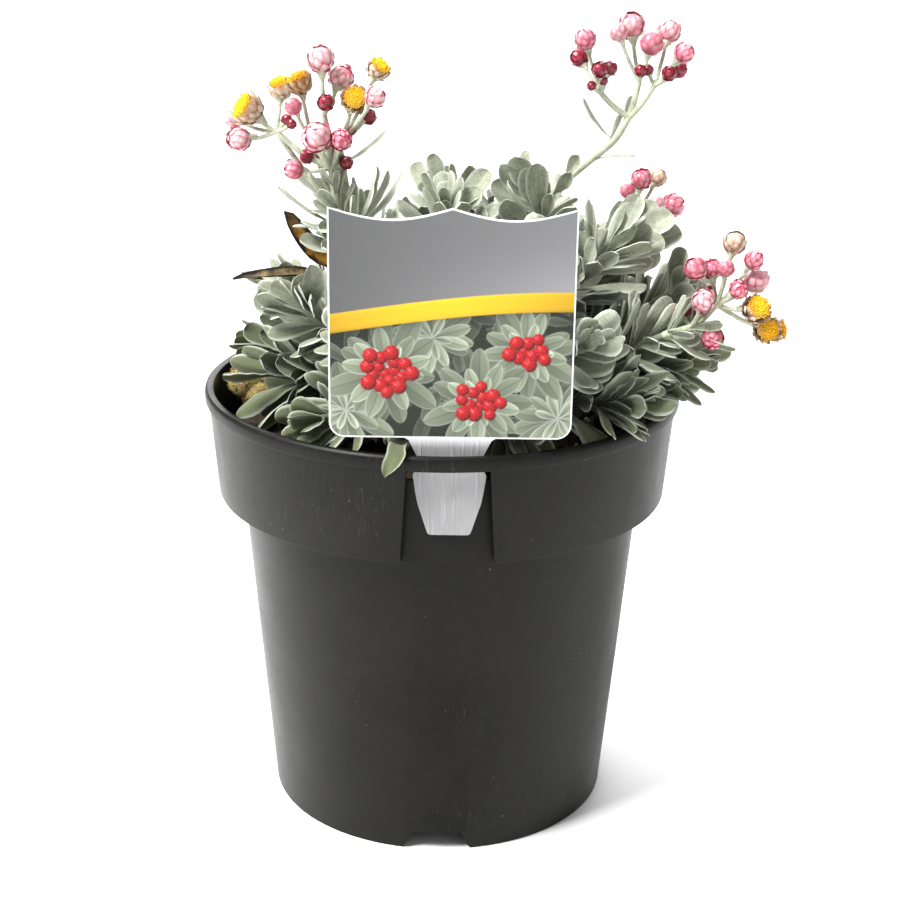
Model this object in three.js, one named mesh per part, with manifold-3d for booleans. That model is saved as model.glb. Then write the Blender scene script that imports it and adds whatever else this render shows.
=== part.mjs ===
// A potted helichrysum: a silver-leaved everlasting in a black two-litre nursery pot, with its picture
// label pushed through the slot in the pot's rim band.
// Millimetres, +Z up. The origin is the centre of the pot's foot, and -Y is the side that carries the label.
import * as THREE from "three";
import { mergeVertices } from "three/addons/utils/BufferGeometryUtils.js";
import Module from "manifold-3d";

const wasm = await Module();
wasm.setup();

// Pot: a thin moulded cone with a wider band at the top, a bead round the rim and a notched foot.
const RIM_RADIUS = 85;
const POT_HEIGHT = 156;
const WALL = 1.4;
const BEAD_HEIGHT = 5;
const BEAD_WIDTH = 3.2;
const BAND_TOP_RADIUS = 83.6;
const BAND_BOTTOM_RADIUS = 80.9;
const BAND_BOTTOM_Z = 117.6;
const BODY_TOP_RADIUS = 72;
const FOOT_RADIUS = 62;
const FLOOR_Z = 8;
const FLOOR_PAD_RADIUS = 26;
const POT_SIDES = 32;
const DRAIN_HOLES = 6;
const DRAIN_HOLE_RADIUS = 4;
const DRAIN_CIRCLE_RADIUS = 44;
const FOOT_NOTCHES = 3;
const NOTCH_HEIGHT = 7;
const NOTCH_TOP_WIDTH = 17;
const NOTCH_BOTTOM_WIDTH = 25;

// Label recess in the band, and the slot under the bead.
const RECESS_X = 2.6;
const RECESS_RADIUS = 78.2;
const RECESS_TOP_WIDTH = 27;
const RECESS_BOTTOM_WIDTH = 31;
const SLOT_HEIGHT = 5;

// Label: a printed plastic card above the rim, whose tail hangs in the recess.
const LABEL_X = 3;
const LABEL_BACK_Y = -78.55;
const LABEL_THICKNESS = 0.6;
const CARD_WIDTH = 77;
const CARD_BOTTOM_Z = 161;
const CARD_CORNER_Z = 235;
const CARD_SCALLOP = 3.6;
const CARD_CORNER_RADIUS = 5;
const NECK_WIDTH = 29;
const WAIST_WIDTH = 19;
const WAIST_Z = 152.5;
const TAIL_WIDTH = 23.6;
const TAIL_SHOULDER_Z = 148.5;
const TAIL_TIP_WIDTH = 12.6;
const TAIL_TIP_Z = 127.8;

// Compost, the mossy stone on it and the gap that separate pieces keep.
const SOIL_Z = 141;
const SOIL_SIDES = 18;
const SOIL_LUMPS = 5;
const GAP = 0.3;
const STONE_CENTRE = [-67, 12, 147.2];
const STONE_SIZE = [16, 19, 13];

// The plant: shoots spread from a woody crown towards a dome of leaf tips.
const CROWN = new THREE.Vector3(12, 0, 145);
const CROWN_RADIUS = 14;
const ROOT_DEPTH = 34;
const DOME = new THREE.Vector3(92, 88, 91);
// The dome is fuller than an ellipsoid by this share, halfway between its top and its foot.
const DOME_SHOULDER = 0.09;
const LABEL_CLEARANCE = 2;
const CELL_MARGIN = 1.05;
const STEM_RADIUS = 1.6;
const STEM_TIP_RADIUS = 1.3;
// Leaves stand on the stem's flat sides, two sides on from one to the next.
const STEM_SIDES = 5;
const LEAVES_PER_SHOOT = 8;
const GOLDEN_ANGLE = 137.508;
// Rings of shoots: elevation above the horizon, first azimuth from +X, and number round the dome.
const RINGS = [
  { name: "crest", elevation: 74, azimuth: 0, count: 3 },
  { name: "upper", elevation: 54, azimuth: 202, count: 8 },
  { name: "middle", elevation: 32, azimuth: 333, count: 11 },
  { name: "skirt", elevation: 12, azimuth: 345, count: 12 },
];
const RING_JITTER = 2;
// The skirt rises by this much where it passes over the nearer side of the rim.
const SKIRT_LIFT = 6;

// Flowering shoots: which shoot carries the spray, where it heads, the spray's depth, the stalk above the
// shoot, the forks on the stalk, the stalk's leaves as point of the stalk, tip and width, and the heads as
// fork, x, z, radius, kind and the way they look (azimuth, elevation).
const SPRAYS = [
  {
    name: "spray_left",
    shoot: "shoot_upper_1",
    azimuth: 202,
    elevation: 56,
    depth: -21,
    stalk: [[-36, -19, 222], [-38, -21, 236]],
    forks: [[-38, -21, 236], [-35, -22, 245], [-44, -19, 244], [-40, -22, 254], [-56, -22, 248]],
    leaves: [
      [1, [-55, -28, 231], 5],
      [1, [-13.5, -27, 237], 6],
      [1, [-22.5, -32, 239], 6],
      [1, [-19, -12, 234], 6.5],
      [1, [-45, -8, 230], 7],
      [2, [-53, -15, 238], 4.6],
      [3, [-19.5, -22, 249], 4.4],
    ],
    heads: [
      [3, -41, 272, 4.7, "ball", 250, 60],
      [3, -35, 265, 4.4, "ball", 300, 40],
      [2, -48, 264, 4.1, "open", 200, 60],
      [4, -55, 261, 4.1, "open", 230, 70],
      [2, -50, 257, 3, "ball", 120, 30],
      [4, -65, 255, 5, "open", 205, 35],
      [4, -71, 251, 3.4, "ball", 180, 20],
      [4, -68, 246, 4.1, "ball", 230, 0],
      [1, -30, 259, 4.1, "open", 275, 20],
      [1, -23, 267, 3.8, "open", 320, 50],
      [1, -23, 261, 3.7, "ball", 350, 20],
      [3, -39, 259, 3, "bud", 260, 50],
      [1, -26, 252, 3, "bud", 330, 40],
      [0, -42, 248, 5.1, "ball", 240, 20],
      [0, -34, 247, 3.8, "ball", 290, 20],
      [0, -46, 240, 2.8, "bud", 190, 10],
      [0, -50, 236.5, 3.4, "ball", 200, -10],
      [0, -33, 238, 2.6, "bud", 350, 20],
    ],
  },
  {
    name: "spray_crest",
    shoot: "shoot_crest_1",
    azimuth: 0,
    elevation: 72,
    depth: 0,
    stalk: [[49, 0.6, 235], [58, -0.5, 243], [63, 0.3, 251]],
    forks: [[66, 1.2, 263], [71, -1, 262], [53, 0.7, 259]],
    leaves: [[3, [46.5, -3, 258], 4.4]],
    heads: [
      [2, 47, 277, 3.8, "ball", 200, 60],
      [2, 46, 270, 3.5, "ball", 200, 20],
      [2, 52, 267.5, 3, "bud", 270, 50],
      [2, 56, 267, 2.8, "bud", 40, 50],
      [0, 58, 279.5, 3.2, "ball", 120, 70],
      [0, 63, 281, 4.9, "ball", 270, 60],
      [0, 69.5, 276, 4.2, "ball", 60, 50],
      [1, 76, 279, 4.2, "ball", 330, 60],
      [1, 80.5, 273, 3.8, "ball", 340, 30],
      [1, 80, 266.5, 3.2, "ball", 10, 0],
      [1, 75, 267, 2.8, "bud", 290, 40],
    ],
  },
  {
    name: "spray_right",
    shoot: "shoot_middle_1",
    azimuth: 333,
    elevation: 28,
    depth: -36,
    stalk: [[84, -33, 186]],
    forks: [[84, -33, 186], [92, -34, 194]],
    leaves: [
      [2, [98, -42, 181], 4.6],
      [2, [88, -26, 203], 4.4],
    ],
    heads: [
      [1, 84, 207, 4, "ball", 200, 50],
      [1, 90.5, 205, 3.6, "ball", 250, 50],
      [1, 94, 207, 3, "ball", 90, 60],
      [1, 97.5, 214, 4.1, "ball", 280, 70],
      [1, 103, 210, 3.4, "ball", 330, 50],
      [1, 98, 201, 3.4, "ball", 280, 30],
      [1, 105, 202, 4.4, "ball", 10, 40],
      [0, 86.5, 197, 4.1, "ball", 240, 40],
      [0, 84, 190, 2.4, "bud", 230, 0],
      [0, 91, 183, 4.1, "ball", 260, -10],
      [1, 104, 194, 4.4, "open", 290, 35],
      [1, 108.5, 186.5, 4.1, "open", 285, 5],
      [1, 113.5, 184, 3.8, "open", 350, 10],
    ],
  },
  {
    name: "spray_back",
    shoot: "shoot_upper_5",
    azimuth: 34,
    elevation: 46,
    depth: 36,
    stalk: [[70, 36, 210]],
    forks: [[70, 36, 210]],
    leaves: [],
    heads: [
      [0, 72, 223, 4.1, "ball", 250, 60],
      [0, 79, 222, 3.4, "ball", 330, 60],
      [0, 84, 213.5, 4.5, "ball", 340, 20],
      [0, 68, 217, 3.2, "bud", 150, 50],
      [0, 77, 215, 3.4, "ball", 60, 40],
    ],
  },
];

// Two withered leaves on the left flowering shoot: how far up its axis they stand, their bend and their tip.
const WITHERED_SHOOT = "shoot_upper_1";
const WITHERED = [
  { reach: 66, bend: [-42, -19, 206], tip: [-54, -20, 221] },
  { reach: 60, bend: [-50, -21, 200], tip: [-72, -21, 198] },
];
const WITHERED_WIDTH = 7;
// How far a stalk's leaf leaves its straight run to the tip, as an angle at either end in radians.
const STALK_LEAF_BOW = 0.25;
const LEAF_THICKNESS = 0.7;

// Everlasting heads: radius, relief of the papery scales, and how many scales go round and up.
const HEADS = {
  bud: { columns: 6, rows: 2, relief: 0.14, flat: 1 },
  ball: { columns: 7, rows: 3, relief: 0.1, flat: 0.92 },
  open: { columns: 9, rows: 3, relief: 0.08, flat: 0.8 },
};
const HEAD_DEPTHS = [0, 4, -4, 8, -8, 12, -12];
const STALK_RADIUS = 1.2;
const PEDICEL_RADIUS = 0.65;

const radians = THREE.MathUtils.degToRad;
const lerp = THREE.MathUtils.lerp;
const vector = (x, y, z) => new THREE.Vector3(x, y, z);

// One repeatable draw from 0 to 1 for each shoot, item on it and use.
function draw(shoot, item, use) {
  let h = Math.imul(shoot + 1, 73856093) ^ Math.imul(item + 1, 19349663) ^ Math.imul(use + 1, 83492791);
  h = Math.imul(h ^ (h >>> 15), 2246822519);
  h = Math.imul(h ^ (h >>> 13), 3266489917);
  return ((h ^ (h >>> 16)) >>> 0) / 4294967296;
}
const spread = (shoot, item, use, amount) => (draw(shoot, item, use) * 2 - 1) * amount;

// A closed three.js geometry as a solid with its faces pointing out.
function solid(geometry) {
  const bare = geometry.index ? geometry.toNonIndexed() : geometry.clone();
  bare.deleteAttribute("normal");
  bare.deleteAttribute("uv");
  const merged = mergeVertices(bare, 1e-4);
  const triangles = [];
  for (let i = 0; i < merged.index.count; i += 3) {
    const [a, b, c] = [0, 1, 2].map((k) => merged.index.getX(i + k));
    if (a !== b && b !== c && a !== c) triangles.push(a, b, c);
  }
  const build = (order) =>
    new wasm.Manifold(
      new wasm.Mesh({
        numProp: 3,
        vertProperties: new Float32Array(merged.attributes.position.array),
        triVerts: new Uint32Array(order),
      }),
    );
  const made = build(triangles);
  return made.volume() > 0 ? made : build([...triangles].reverse());
}

const union = (solids) => wasm.Manifold.union(solids);

// A solid as a named mesh in its own colour. Loose scraps left by a cut are dropped.
function piece(name, shape, look) {
  const body = shape.decompose().sort((a, b) => b.volume() - a.volume())[0];
  const mesh = body.getMesh();
  const geometry = new THREE.BufferGeometry();
  geometry.setAttribute("position", new THREE.BufferAttribute(new Float32Array(mesh.vertProperties), 3));
  geometry.setIndex(new THREE.BufferAttribute(new Uint32Array(mesh.triVerts), 1));
  geometry.computeVertexNormals();
  const made = new THREE.Mesh(geometry, new THREE.MeshStandardMaterial(look));
  made.name = name;
  return made;
}

// A profile of [radius, height] points turned round the upright axis.
function turned(profile, sides) {
  const points = profile.map(([r, z]) => new THREE.Vector2(r, z));
  return solid(new THREE.LatheGeometry(points, sides).rotateX(Math.PI / 2));
}

// A flat outline of [x, z] points, as thick as given, from the plane y towards -Y.
function plate(outline, y, thickness) {
  const shape = new THREE.Shape(outline.map(([x, z]) => new THREE.Vector2(x, z)));
  const geometry = new THREE.ExtrudeGeometry(shape, { depth: thickness, bevelEnabled: false });
  return solid(geometry.rotateX(Math.PI / 2).translate(0, y, 0));
}

// Rings of points joined into a closed skin, with a fan at each end.
function loft(rings, first, last) {
  const sides = rings[0].length;
  const points = [...rings.flat(), first, last];
  const index = [];
  for (let r = 0; r + 1 < rings.length; r++)
    for (let s = 0; s < sides; s++) {
      const [a, b] = [r * sides + s, r * sides + ((s + 1) % sides)];
      index.push(a, b, b + sides, a, b + sides, a + sides);
    }
  const top = (rings.length - 1) * sides;
  for (let s = 0; s < sides; s++) {
    const next = (s + 1) % sides;
    index.push(points.length - 2, next, s, points.length - 1, top + s, top + next);
  }
  const geometry = new THREE.BufferGeometry().setFromPoints(points);
  geometry.setIndex(index);
  return solid(geometry);
}

// Two directions across an axis, at right angles to it and each other.
function crossFrame(axis, lean = axis) {
  const across = (Math.abs(lean.z) < 0.8 ? vector(0, 0, 1) : vector(1, 0, 0)).cross(axis).normalize();
  return [across, axis.clone().cross(across).normalize()];
}

// A stem of round section along straight runs between points.
function stem(path, radii, sides) {
  const lean = path[path.length - 1].clone().sub(path[0]).normalize();
  const rings = path.map((point, i) => {
    const along = path[Math.min(i + 1, path.length - 1)].clone().sub(path[Math.max(i - 1, 0)]).normalize();
    const [across, up] = crossFrame(along, lean);
    return Array.from({ length: sides }, (_, s) => {
      const turn = (s / sides) * 2 * Math.PI;
      return point
        .clone()
        .addScaledVector(across, Math.cos(turn) * radii[i])
        .addScaledVector(up, Math.sin(turn) * radii[i]);
    });
  });
  return loft(rings, path[0], path[path.length - 1]);
}

// The pot's outer surface as [radius, height], from the foot to the top of the bead.
const OUTER_PROFILE = [
  [FOOT_RADIUS, 0],
  [BODY_TOP_RADIUS, BAND_BOTTOM_Z],
  [BAND_BOTTOM_RADIUS, BAND_BOTTOM_Z],
  [BAND_TOP_RADIUS, POT_HEIGHT - BEAD_HEIGHT],
  [RIM_RADIUS, POT_HEIGHT - BEAD_HEIGHT],
  [RIM_RADIUS, POT_HEIGHT - 1],
  [RIM_RADIUS - 1, POT_HEIGHT],
];

// The pot's inner surface as [radius, height], from the rim down to the middle of the floor.
const INNER_PROFILE = [
  [RIM_RADIUS - BEAD_WIDTH, POT_HEIGHT],
  [RIM_RADIUS - BEAD_WIDTH, POT_HEIGHT - BEAD_HEIGHT],
  [BAND_BOTTOM_RADIUS - WALL, BAND_BOTTOM_Z + WALL],
  [BODY_TOP_RADIUS - WALL, BAND_BOTTOM_Z + WALL],
  [FOOT_RADIUS - WALL + 0.6, FLOOR_Z + WALL],
  [FLOOR_PAD_RADIUS + 2, FLOOR_Z + WALL],
  [FLOOR_PAD_RADIUS - 1, WALL],
  [0, WALL],
];

// A flat-sided region with slanting flanks, wider at the bottom, such as the recess or a foot notch.
function taperedBlock(topWidth, bottomWidth, bottom, top, y, depth) {
  const outline = [
    [-bottomWidth / 2, bottom],
    [bottomWidth / 2, bottom],
    [topWidth / 2, top],
    [-topWidth / 2, top],
  ];
  return plate(outline, y, depth);
}

function makePot() {
  const underside = [
    [0, 0],
    [FLOOR_PAD_RADIUS, 0],
    [FLOOR_PAD_RADIUS + 3, FLOOR_Z],
    [FOOT_RADIUS - WALL, FLOOR_Z],
    [FOOT_RADIUS - WALL, 0],
  ];
  const shell = turned([...underside, ...OUTER_PROFILE, ...INNER_PROFILE], POT_SIDES);
  const outside = turned([[0, 0], ...OUTER_PROFILE, [0, POT_HEIGHT]], POT_SIDES);
  const [low, high] = [BAND_BOTTOM_Z - 1, POT_HEIGHT - BEAD_HEIGHT];
  const drum = (radius) => {
    const [foot, top] = [low - 10, POT_HEIGHT + 10];
    return turned([[0, foot], [radius, foot], [radius, top], [0, top]], POT_SIDES * 2);
  };
  const place = (block) => block.translate([RECESS_X, 0, 0]);
  const recess = place(taperedBlock(RECESS_TOP_WIDTH, RECESS_BOTTOM_WIDTH, low, high, -70, 20));
  const flanked = place(
    taperedBlock(RECESS_TOP_WIDTH + 2 * WALL, RECESS_BOTTOM_WIDTH + 2 * WALL, BAND_BOTTOM_Z, high, -70, 20),
  );
  const panel = flanked.intersect(outside).subtract(drum(RECESS_RADIUS - WALL));
  const slot = place(taperedBlock(RECESS_TOP_WIDTH, RECESS_TOP_WIDTH, high - SLOT_HEIGHT, high, -70, 20));
  let pot = shell.add(panel).subtract(recess.subtract(drum(RECESS_RADIUS))).subtract(slot);
  for (let i = 0; i < FOOT_NOTCHES; i++) {
    const notch = taperedBlock(NOTCH_TOP_WIDTH, NOTCH_BOTTOM_WIDTH, -1, NOTCH_HEIGHT, -FOOT_RADIUS + 10, 20);
    pot = pot.subtract(notch.rotate([0, 0, (i * 360) / FOOT_NOTCHES]));
  }
  for (let i = 0; i < DRAIN_HOLES; i++) {
    const turn = ((i + 0.5) / DRAIN_HOLES) * 2 * Math.PI;
    const hole = turned([[0, 1], [DRAIN_HOLE_RADIUS, 1], [DRAIN_HOLE_RADIUS, 14], [0, 14]], 8);
    pot = pot.subtract(
      hole.translate([DRAIN_CIRCLE_RADIUS * Math.cos(turn), DRAIN_CIRCLE_RADIUS * Math.sin(turn), 0]),
    );
  }
  return pot;
}

// The card's top edge is two shallow scallops that meet in a point over the middle.
function makeLabel() {
  const half = CARD_WIDTH / 2;
  const steps = 6;
  const scallops = Array.from({ length: 2 * steps + 1 }, (_, i) => {
    const x = lerp(half, -half, i / (2 * steps));
    return [x, CARD_CORNER_Z - CARD_SCALLOP * Math.sin((Math.abs(x) / half) * Math.PI)];
  });
  const corner = (side, from) =>
    [0, 1, 2, 3].map((i) => {
      const turn = radians(from + i * 30);
      const centre = side * (half - CARD_CORNER_RADIUS);
      return [
        centre + CARD_CORNER_RADIUS * Math.cos(turn),
        CARD_BOTTOM_Z + CARD_CORNER_RADIUS + CARD_CORNER_RADIUS * Math.sin(turn),
      ];
    });
  const outline = [
    ...scallops,
    ...corner(-1, 180),
    [-NECK_WIDTH / 2, CARD_BOTTOM_Z],
    [-WAIST_WIDTH / 2 - 1.5, WAIST_Z + 3],
    [-WAIST_WIDTH / 2, WAIST_Z],
    [-TAIL_WIDTH / 2, TAIL_SHOULDER_Z],
    [-TAIL_WIDTH / 2 + 1.5, lerp(TAIL_SHOULDER_Z, TAIL_TIP_Z, 0.45)],
    [-TAIL_TIP_WIDTH / 2, TAIL_TIP_Z],
    [TAIL_TIP_WIDTH / 2, TAIL_TIP_Z],
    [TAIL_WIDTH / 2 - 1.5, lerp(TAIL_SHOULDER_Z, TAIL_TIP_Z, 0.45)],
    [TAIL_WIDTH / 2, TAIL_SHOULDER_Z],
    [WAIST_WIDTH / 2, WAIST_Z],
    [WAIST_WIDTH / 2 + 1.5, WAIST_Z + 3],
    [NECK_WIDTH / 2, CARD_BOTTOM_Z],
    ...corner(1, 270),
  ];
  return plate(outline, LABEL_BACK_Y, LABEL_THICKNESS).translate([LABEL_X, 0, 0]);
}

// A lumpy ball, squashed to a size, whose surface is pushed in and out by a few waves.
function lump(centre, size, sides, rows, bump, seed) {
  const rings = [];
  for (let r = 1; r < rows; r++) {
    const polar = (r / rows) * Math.PI;
    rings.push(
      Array.from({ length: sides }, (_, s) => {
        const turn = (s / sides) * 2 * Math.PI;
        const swell = 1 + spread(seed, r * sides + s, 0, bump);
        return vector(
          centre[0] + (size[0] / 2) * Math.sin(polar) * Math.cos(turn) * swell,
          centre[1] + (size[1] / 2) * Math.sin(polar) * Math.sin(turn) * swell,
          centre[2] - (size[2] / 2) * Math.cos(polar),
        );
      }),
    );
  }
  const pole = (side) => vector(centre[0], centre[1], centre[2] + (side * size[2]) / 2);
  return loft(rings, pole(-1), pole(1));
}

// Compost fills the pot up to a slightly uneven surface, with a plain hole for the crown and a seat for the
// stone.
function makeSoil(crown, stone) {
  const inner = INNER_PROFILE.slice(2, -1).reverse();
  const wallAt = (z) => {
    const [a, b] = [INNER_PROFILE[2], INNER_PROFILE[1]];
    return lerp(a[0], b[0], (z - a[1]) / (b[1] - a[1])) - GAP;
  };
  const sunk = inner.map(([r, z]) => [r - GAP - 0.2, z + GAP]);
  const profile = [[0, WALL + GAP], ...sunk, [wallAt(SOIL_Z), SOIL_Z], [0, SOIL_Z]];
  const body = turned(profile, SOIL_SIDES);
  const lumps = [];
  for (let i = 0; i < SOIL_LUMPS; i++) {
    const turn = radians(i * GOLDEN_ANGLE + 40);
    const reach = 26 + 42 * Math.sqrt((i + 0.5) / SOIL_LUMPS);
    const size = 8 + 6 * draw(90, i, 1);
    const at = [reach * Math.cos(turn), reach * Math.sin(turn), SOIL_Z - 0.5];
    lumps.push(lump(at, [size, size * 0.8, 3.4 + draw(90, i, 2) * 2], 5, 3, 0.1, 91 + i));
  }
  const cut = RECESS_RADIUS - WALL - GAP;
  const panel = turned([[0, 0], [cut, 0], [cut, 200], [0, 200]], SOIL_SIDES);
  return body
    .intersect(panel)
    .add(union(lumps))
    .subtract(crown)
    .subtract(stone);
}

const onSphere = (azimuth, elevation) =>
  vector(
    Math.cos(radians(elevation)) * Math.cos(radians(azimuth)),
    Math.cos(radians(elevation)) * Math.sin(radians(azimuth)),
    Math.sin(radians(elevation)),
  );

// The shoots' directions from the crown, ring by ring.
function planShoots() {
  const shoots = [];
  for (const ring of RINGS)
    for (let i = 0; i < ring.count; i++) {
      const id = shoots.length;
      const name = `shoot_${ring.name}_${i + 1}`;
      const spray = SPRAYS.find((each) => each.shoot === name);
      let azimuth = ring.azimuth + (i * 360) / ring.count + spread(id, 0, 1, RING_JITTER);
      let elevation = ring.elevation + spread(id, 0, 2, RING_JITTER);
      if (ring.name === "skirt") elevation += SKIRT_LIFT * Math.max(0, Math.cos(radians(azimuth)));
      if (spray) [azimuth, elevation] = [spray.azimuth, spray.elevation];
      const axis = onSphere(azimuth, elevation);
      const tip = domeReach(axis, spray ? 0 : DOME_SHOULDER) - 17 + spread(id, 0, 7, 2.5);
      shoots.push({ id, name, ring: ring.name, spray, axis, tip, top: tip + (spray ? 6 : 1.5) });
    }
  return shoots;
}

// How far the leaf tips reach from the crown in a direction: the dome with its shoulder, held back behind
// the label's card.
function domeReach(axis, shoulder) {
  const swell = 1 + shoulder * 4 * axis.z ** 2 * (1 - axis.z ** 2);
  const dome = swell / Math.hypot(axis.x / DOME.x, axis.y / DOME.y, axis.z / DOME.z);
  const behindCard = (LABEL_BACK_Y + LABEL_CLEARANCE) / Math.min(axis.y, -0.01);
  const beside = Math.abs(CROWN.x + axis.x * behindCard - LABEL_X) > CARD_WIDTH / 2 + 6;
  return beside ? dome : Math.min(dome, behindCard);
}

const SHOOTS = planShoots();
const onAxis = (shoot, reach) => CROWN.clone().addScaledVector(shoot.axis, reach);

// The points of a spray's stalk, from just above its shoot.
function stalkPath(spray) {
  const { top, axis } = SHOOTS.find((each) => each.spray === spray);
  const foot = [top + GAP, top + 3].map((reach) => CROWN.clone().addScaledVector(axis, reach));
  return [...foot, ...spray.stalk.map((p) => vector(...p))];
}

// A leaf on a spray's stalk, bowed outwards on its way to its tip.
function stalkLeaf(spray, [point, tip, width]) {
  const path = stalkPath(spray);
  const root = path[point];
  const axis = root.clone().sub(path[point - 1]).normalize();
  const run = vector(...tip).sub(root);
  const out = run.clone().addScaledVector(axis, -run.dot(axis)).normalize();
  const opening = run.angleTo(axis);
  const [start, end] = [opening + STALK_LEAF_BOW, opening - STALK_LEAF_BOW];
  const flat = { thickness: LEAF_THICKNESS, twist: 0, sag: 0 };
  return { ...flat, axis, out, root, length: run.length(), width, start, end };
}

const distanceToRun = (p, from, to) =>
  new THREE.Line3(from, to).closestPointToPoint(p, true, vector()).distanceTo(p);

// A spray's heads, each moved to the first depth that keeps it and its pedicel clear of those before it.
function placeHeads(spray) {
  const placed = [];
  for (const [fork, x, z, radius, kind, azimuth, elevation] of spray.heads) {
    const from = vector(...spray.forks[fork]);
    const room = (at) =>
      Math.min(
        1,
        ...placed.map((other) => at.distanceTo(other.at) - radius - other.radius),
        ...placed.map((other) => distanceToRun(other.at, from, at) - other.radius - PEDICEL_RADIUS),
        ...placed.map((other) => distanceToRun(at, other.from, other.at) - radius - PEDICEL_RADIUS),
      );
    const options = HEAD_DEPTHS.map((depth) => vector(x, spray.depth + depth, z));
    const at = options.reduce((best, option) => (room(option) > room(best) + 0.01 ? option : best));
    placed.push({ from, at, radius, kind, facing: onSphere(azimuth, elevation) });
  }
  return placed;
}

// The side stems of a spray as start, end and thinner end's radius: stalk to forks, then forks to heads.
function sideRuns(spray) {
  const path = stalkPath(spray);
  const nearer = (fork, a, b) => (a.distanceTo(fork) < b.distanceTo(fork) ? a : b);
  const nearest = (fork) => path.reduce((near, p) => nearer(fork, p, near));
  const toForks = spray.forks.map((p) => vector(...p)).map((fork) => [nearest(fork), fork, STALK_RADIUS]);
  return [
    ...toForks.filter(([from, to]) => from.distanceTo(to) > 1),
    ...placeHeads(spray).map(({ from, at }) => [from, at, PEDICEL_RADIUS]),
  ];
}

const withered = SHOOTS.find((shoot) => shoot.name === WITHERED_SHOOT);

function witheredPath({ reach, bend, tip }) {
  return [onAxis(withered, reach), vector(...bend), vector(...tip)];
}

// What the leaves keep away from: the stalks, pedicels and heads of the sprays, and the withered leaves.
const OBSTACLES = [
  ...SPRAYS.flatMap((spray) => [
    ...stalkPath(spray).flatMap((to, i, path) => (i ? [[path[i - 1], to, STALK_RADIUS + 1.6]] : [])),
    ...sideRuns(spray).map(([from, to, radius]) => [from, to, radius + 1.4]),
    ...placeHeads(spray).map(({ at, radius }) => [at, at.clone().setZ(at.z + 0.01), radius + 1.6]),
    ...spray.leaves.flatMap((row) => {
      const leaf = stalkLeaf(spray, row);
      const [foot, middle, tip] = [0.1, 0.5, 1].map((share) => leafPoint(leaf, share));
      return [[foot, middle, leaf.width / 2 + 1.2], [middle, tip, leaf.width / 2 + 1.2]];
    }),
  ]),
  ...WITHERED.map(witheredPath).flatMap(([root, bend, tip]) => [
    [root.clone().lerp(bend, 0.15), bend, WITHERED_WIDTH / 2 + 0.8],
    [bend, tip, WITHERED_WIDTH / 2 + 0.8],
  ]),
];

// Whether a point of the plant is clear of the pot, the compost, the stone and the label's card.
function isClear(p) {
  const radius = Math.hypot(p.x, p.y);
  const [inside, outside] = [RIM_RADIUS - BEAD_WIDTH - 3, RIM_RADIUS + 1.5];
  if (radius < outside && radius > inside && p.z < POT_HEIGHT + 1.3) return false;
  if (radius <= inside && p.z < SOIL_Z + 3.4) return false;
  if (radius >= outside && radius < RIM_RADIUS + 3 && p.z < POT_HEIGHT - 12) return false;
  if (p.y < LABEL_BACK_Y + 1.2 && Math.abs(p.x - LABEL_X) < CARD_WIDTH / 2 + 2) return false;
  if (OBSTACLES.some(([from, to, reach]) => distanceToRun(p, from, to) < reach)) return false;
  return p.distanceTo(vector(...STONE_CENTRE)) > STONE_SIZE[1] / 2 + 1.5;
}

// Whether a point lies in the shoot's own cell, the cone of directions nearer to its axis than to any other.
function inCell(shoot, p) {
  const from = p.clone().sub(CROWN);
  return SHOOTS.every((other) => {
    if (other === shoot) return true;
    const across = shoot.axis.clone().sub(other.axis);
    return from.dot(across) >= CELL_MARGIN * across.length();
  });
}

// Half the blade's width at a share of its length, as a share of its widest half: narrow foot, rounded tip.
const LEAF_STATIONS = [
  [0, 0.08],
  [0.45, 0.62],
  [0.8, 1],
];

// The blade's middle line: an arc that starts at one opening angle from the axis, ends at another, and sags.
function leafPoint(leaf, share) {
  const turn = leaf.start + (leaf.end - leaf.start) * share * 0.5;
  const reach = leaf.length * share;
  const point = leaf.root.clone();
  point.addScaledVector(leaf.axis, Math.cos(turn) * reach);
  point.addScaledVector(leaf.out, Math.sin(turn) * reach);
  point.z -= leaf.sag * share * share;
  return point;
}

// The blade's frame at a share of its length: its middle, the way across it and the side that faces the
// shoot.
function leafFrame(leaf, share) {
  const middle = leafPoint(leaf, share);
  const along = leafPoint(leaf, share + 0.02).sub(leafPoint(leaf, share - 0.02)).normalize();
  const across = leaf.axis.clone().cross(leaf.out).normalize();
  const face = across.clone().cross(along).normalize();
  const turn = leaf.twist * share;
  return [middle, across.applyAxisAngle(along, turn), face.applyAxisAngle(along, turn)];
}

// One blade: two edges raised a little above the midrib, and a keel below it.
function leafBlade(leaf) {
  const rings = LEAF_STATIONS.map(([share, wide]) => {
    const [middle, across, face] = leafFrame(leaf, share);
    const half = (leaf.width / 2) * wide;
    return [
      middle.clone().addScaledVector(across, half).addScaledVector(face, 0.25),
      middle.clone().addScaledVector(across, -half).addScaledVector(face, 0.25),
      middle.clone().addScaledVector(face, -leaf.thickness),
    ];
  });
  return loft(rings, leafPoint(leaf, 0), leafPoint(leaf, 1));
}

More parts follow.
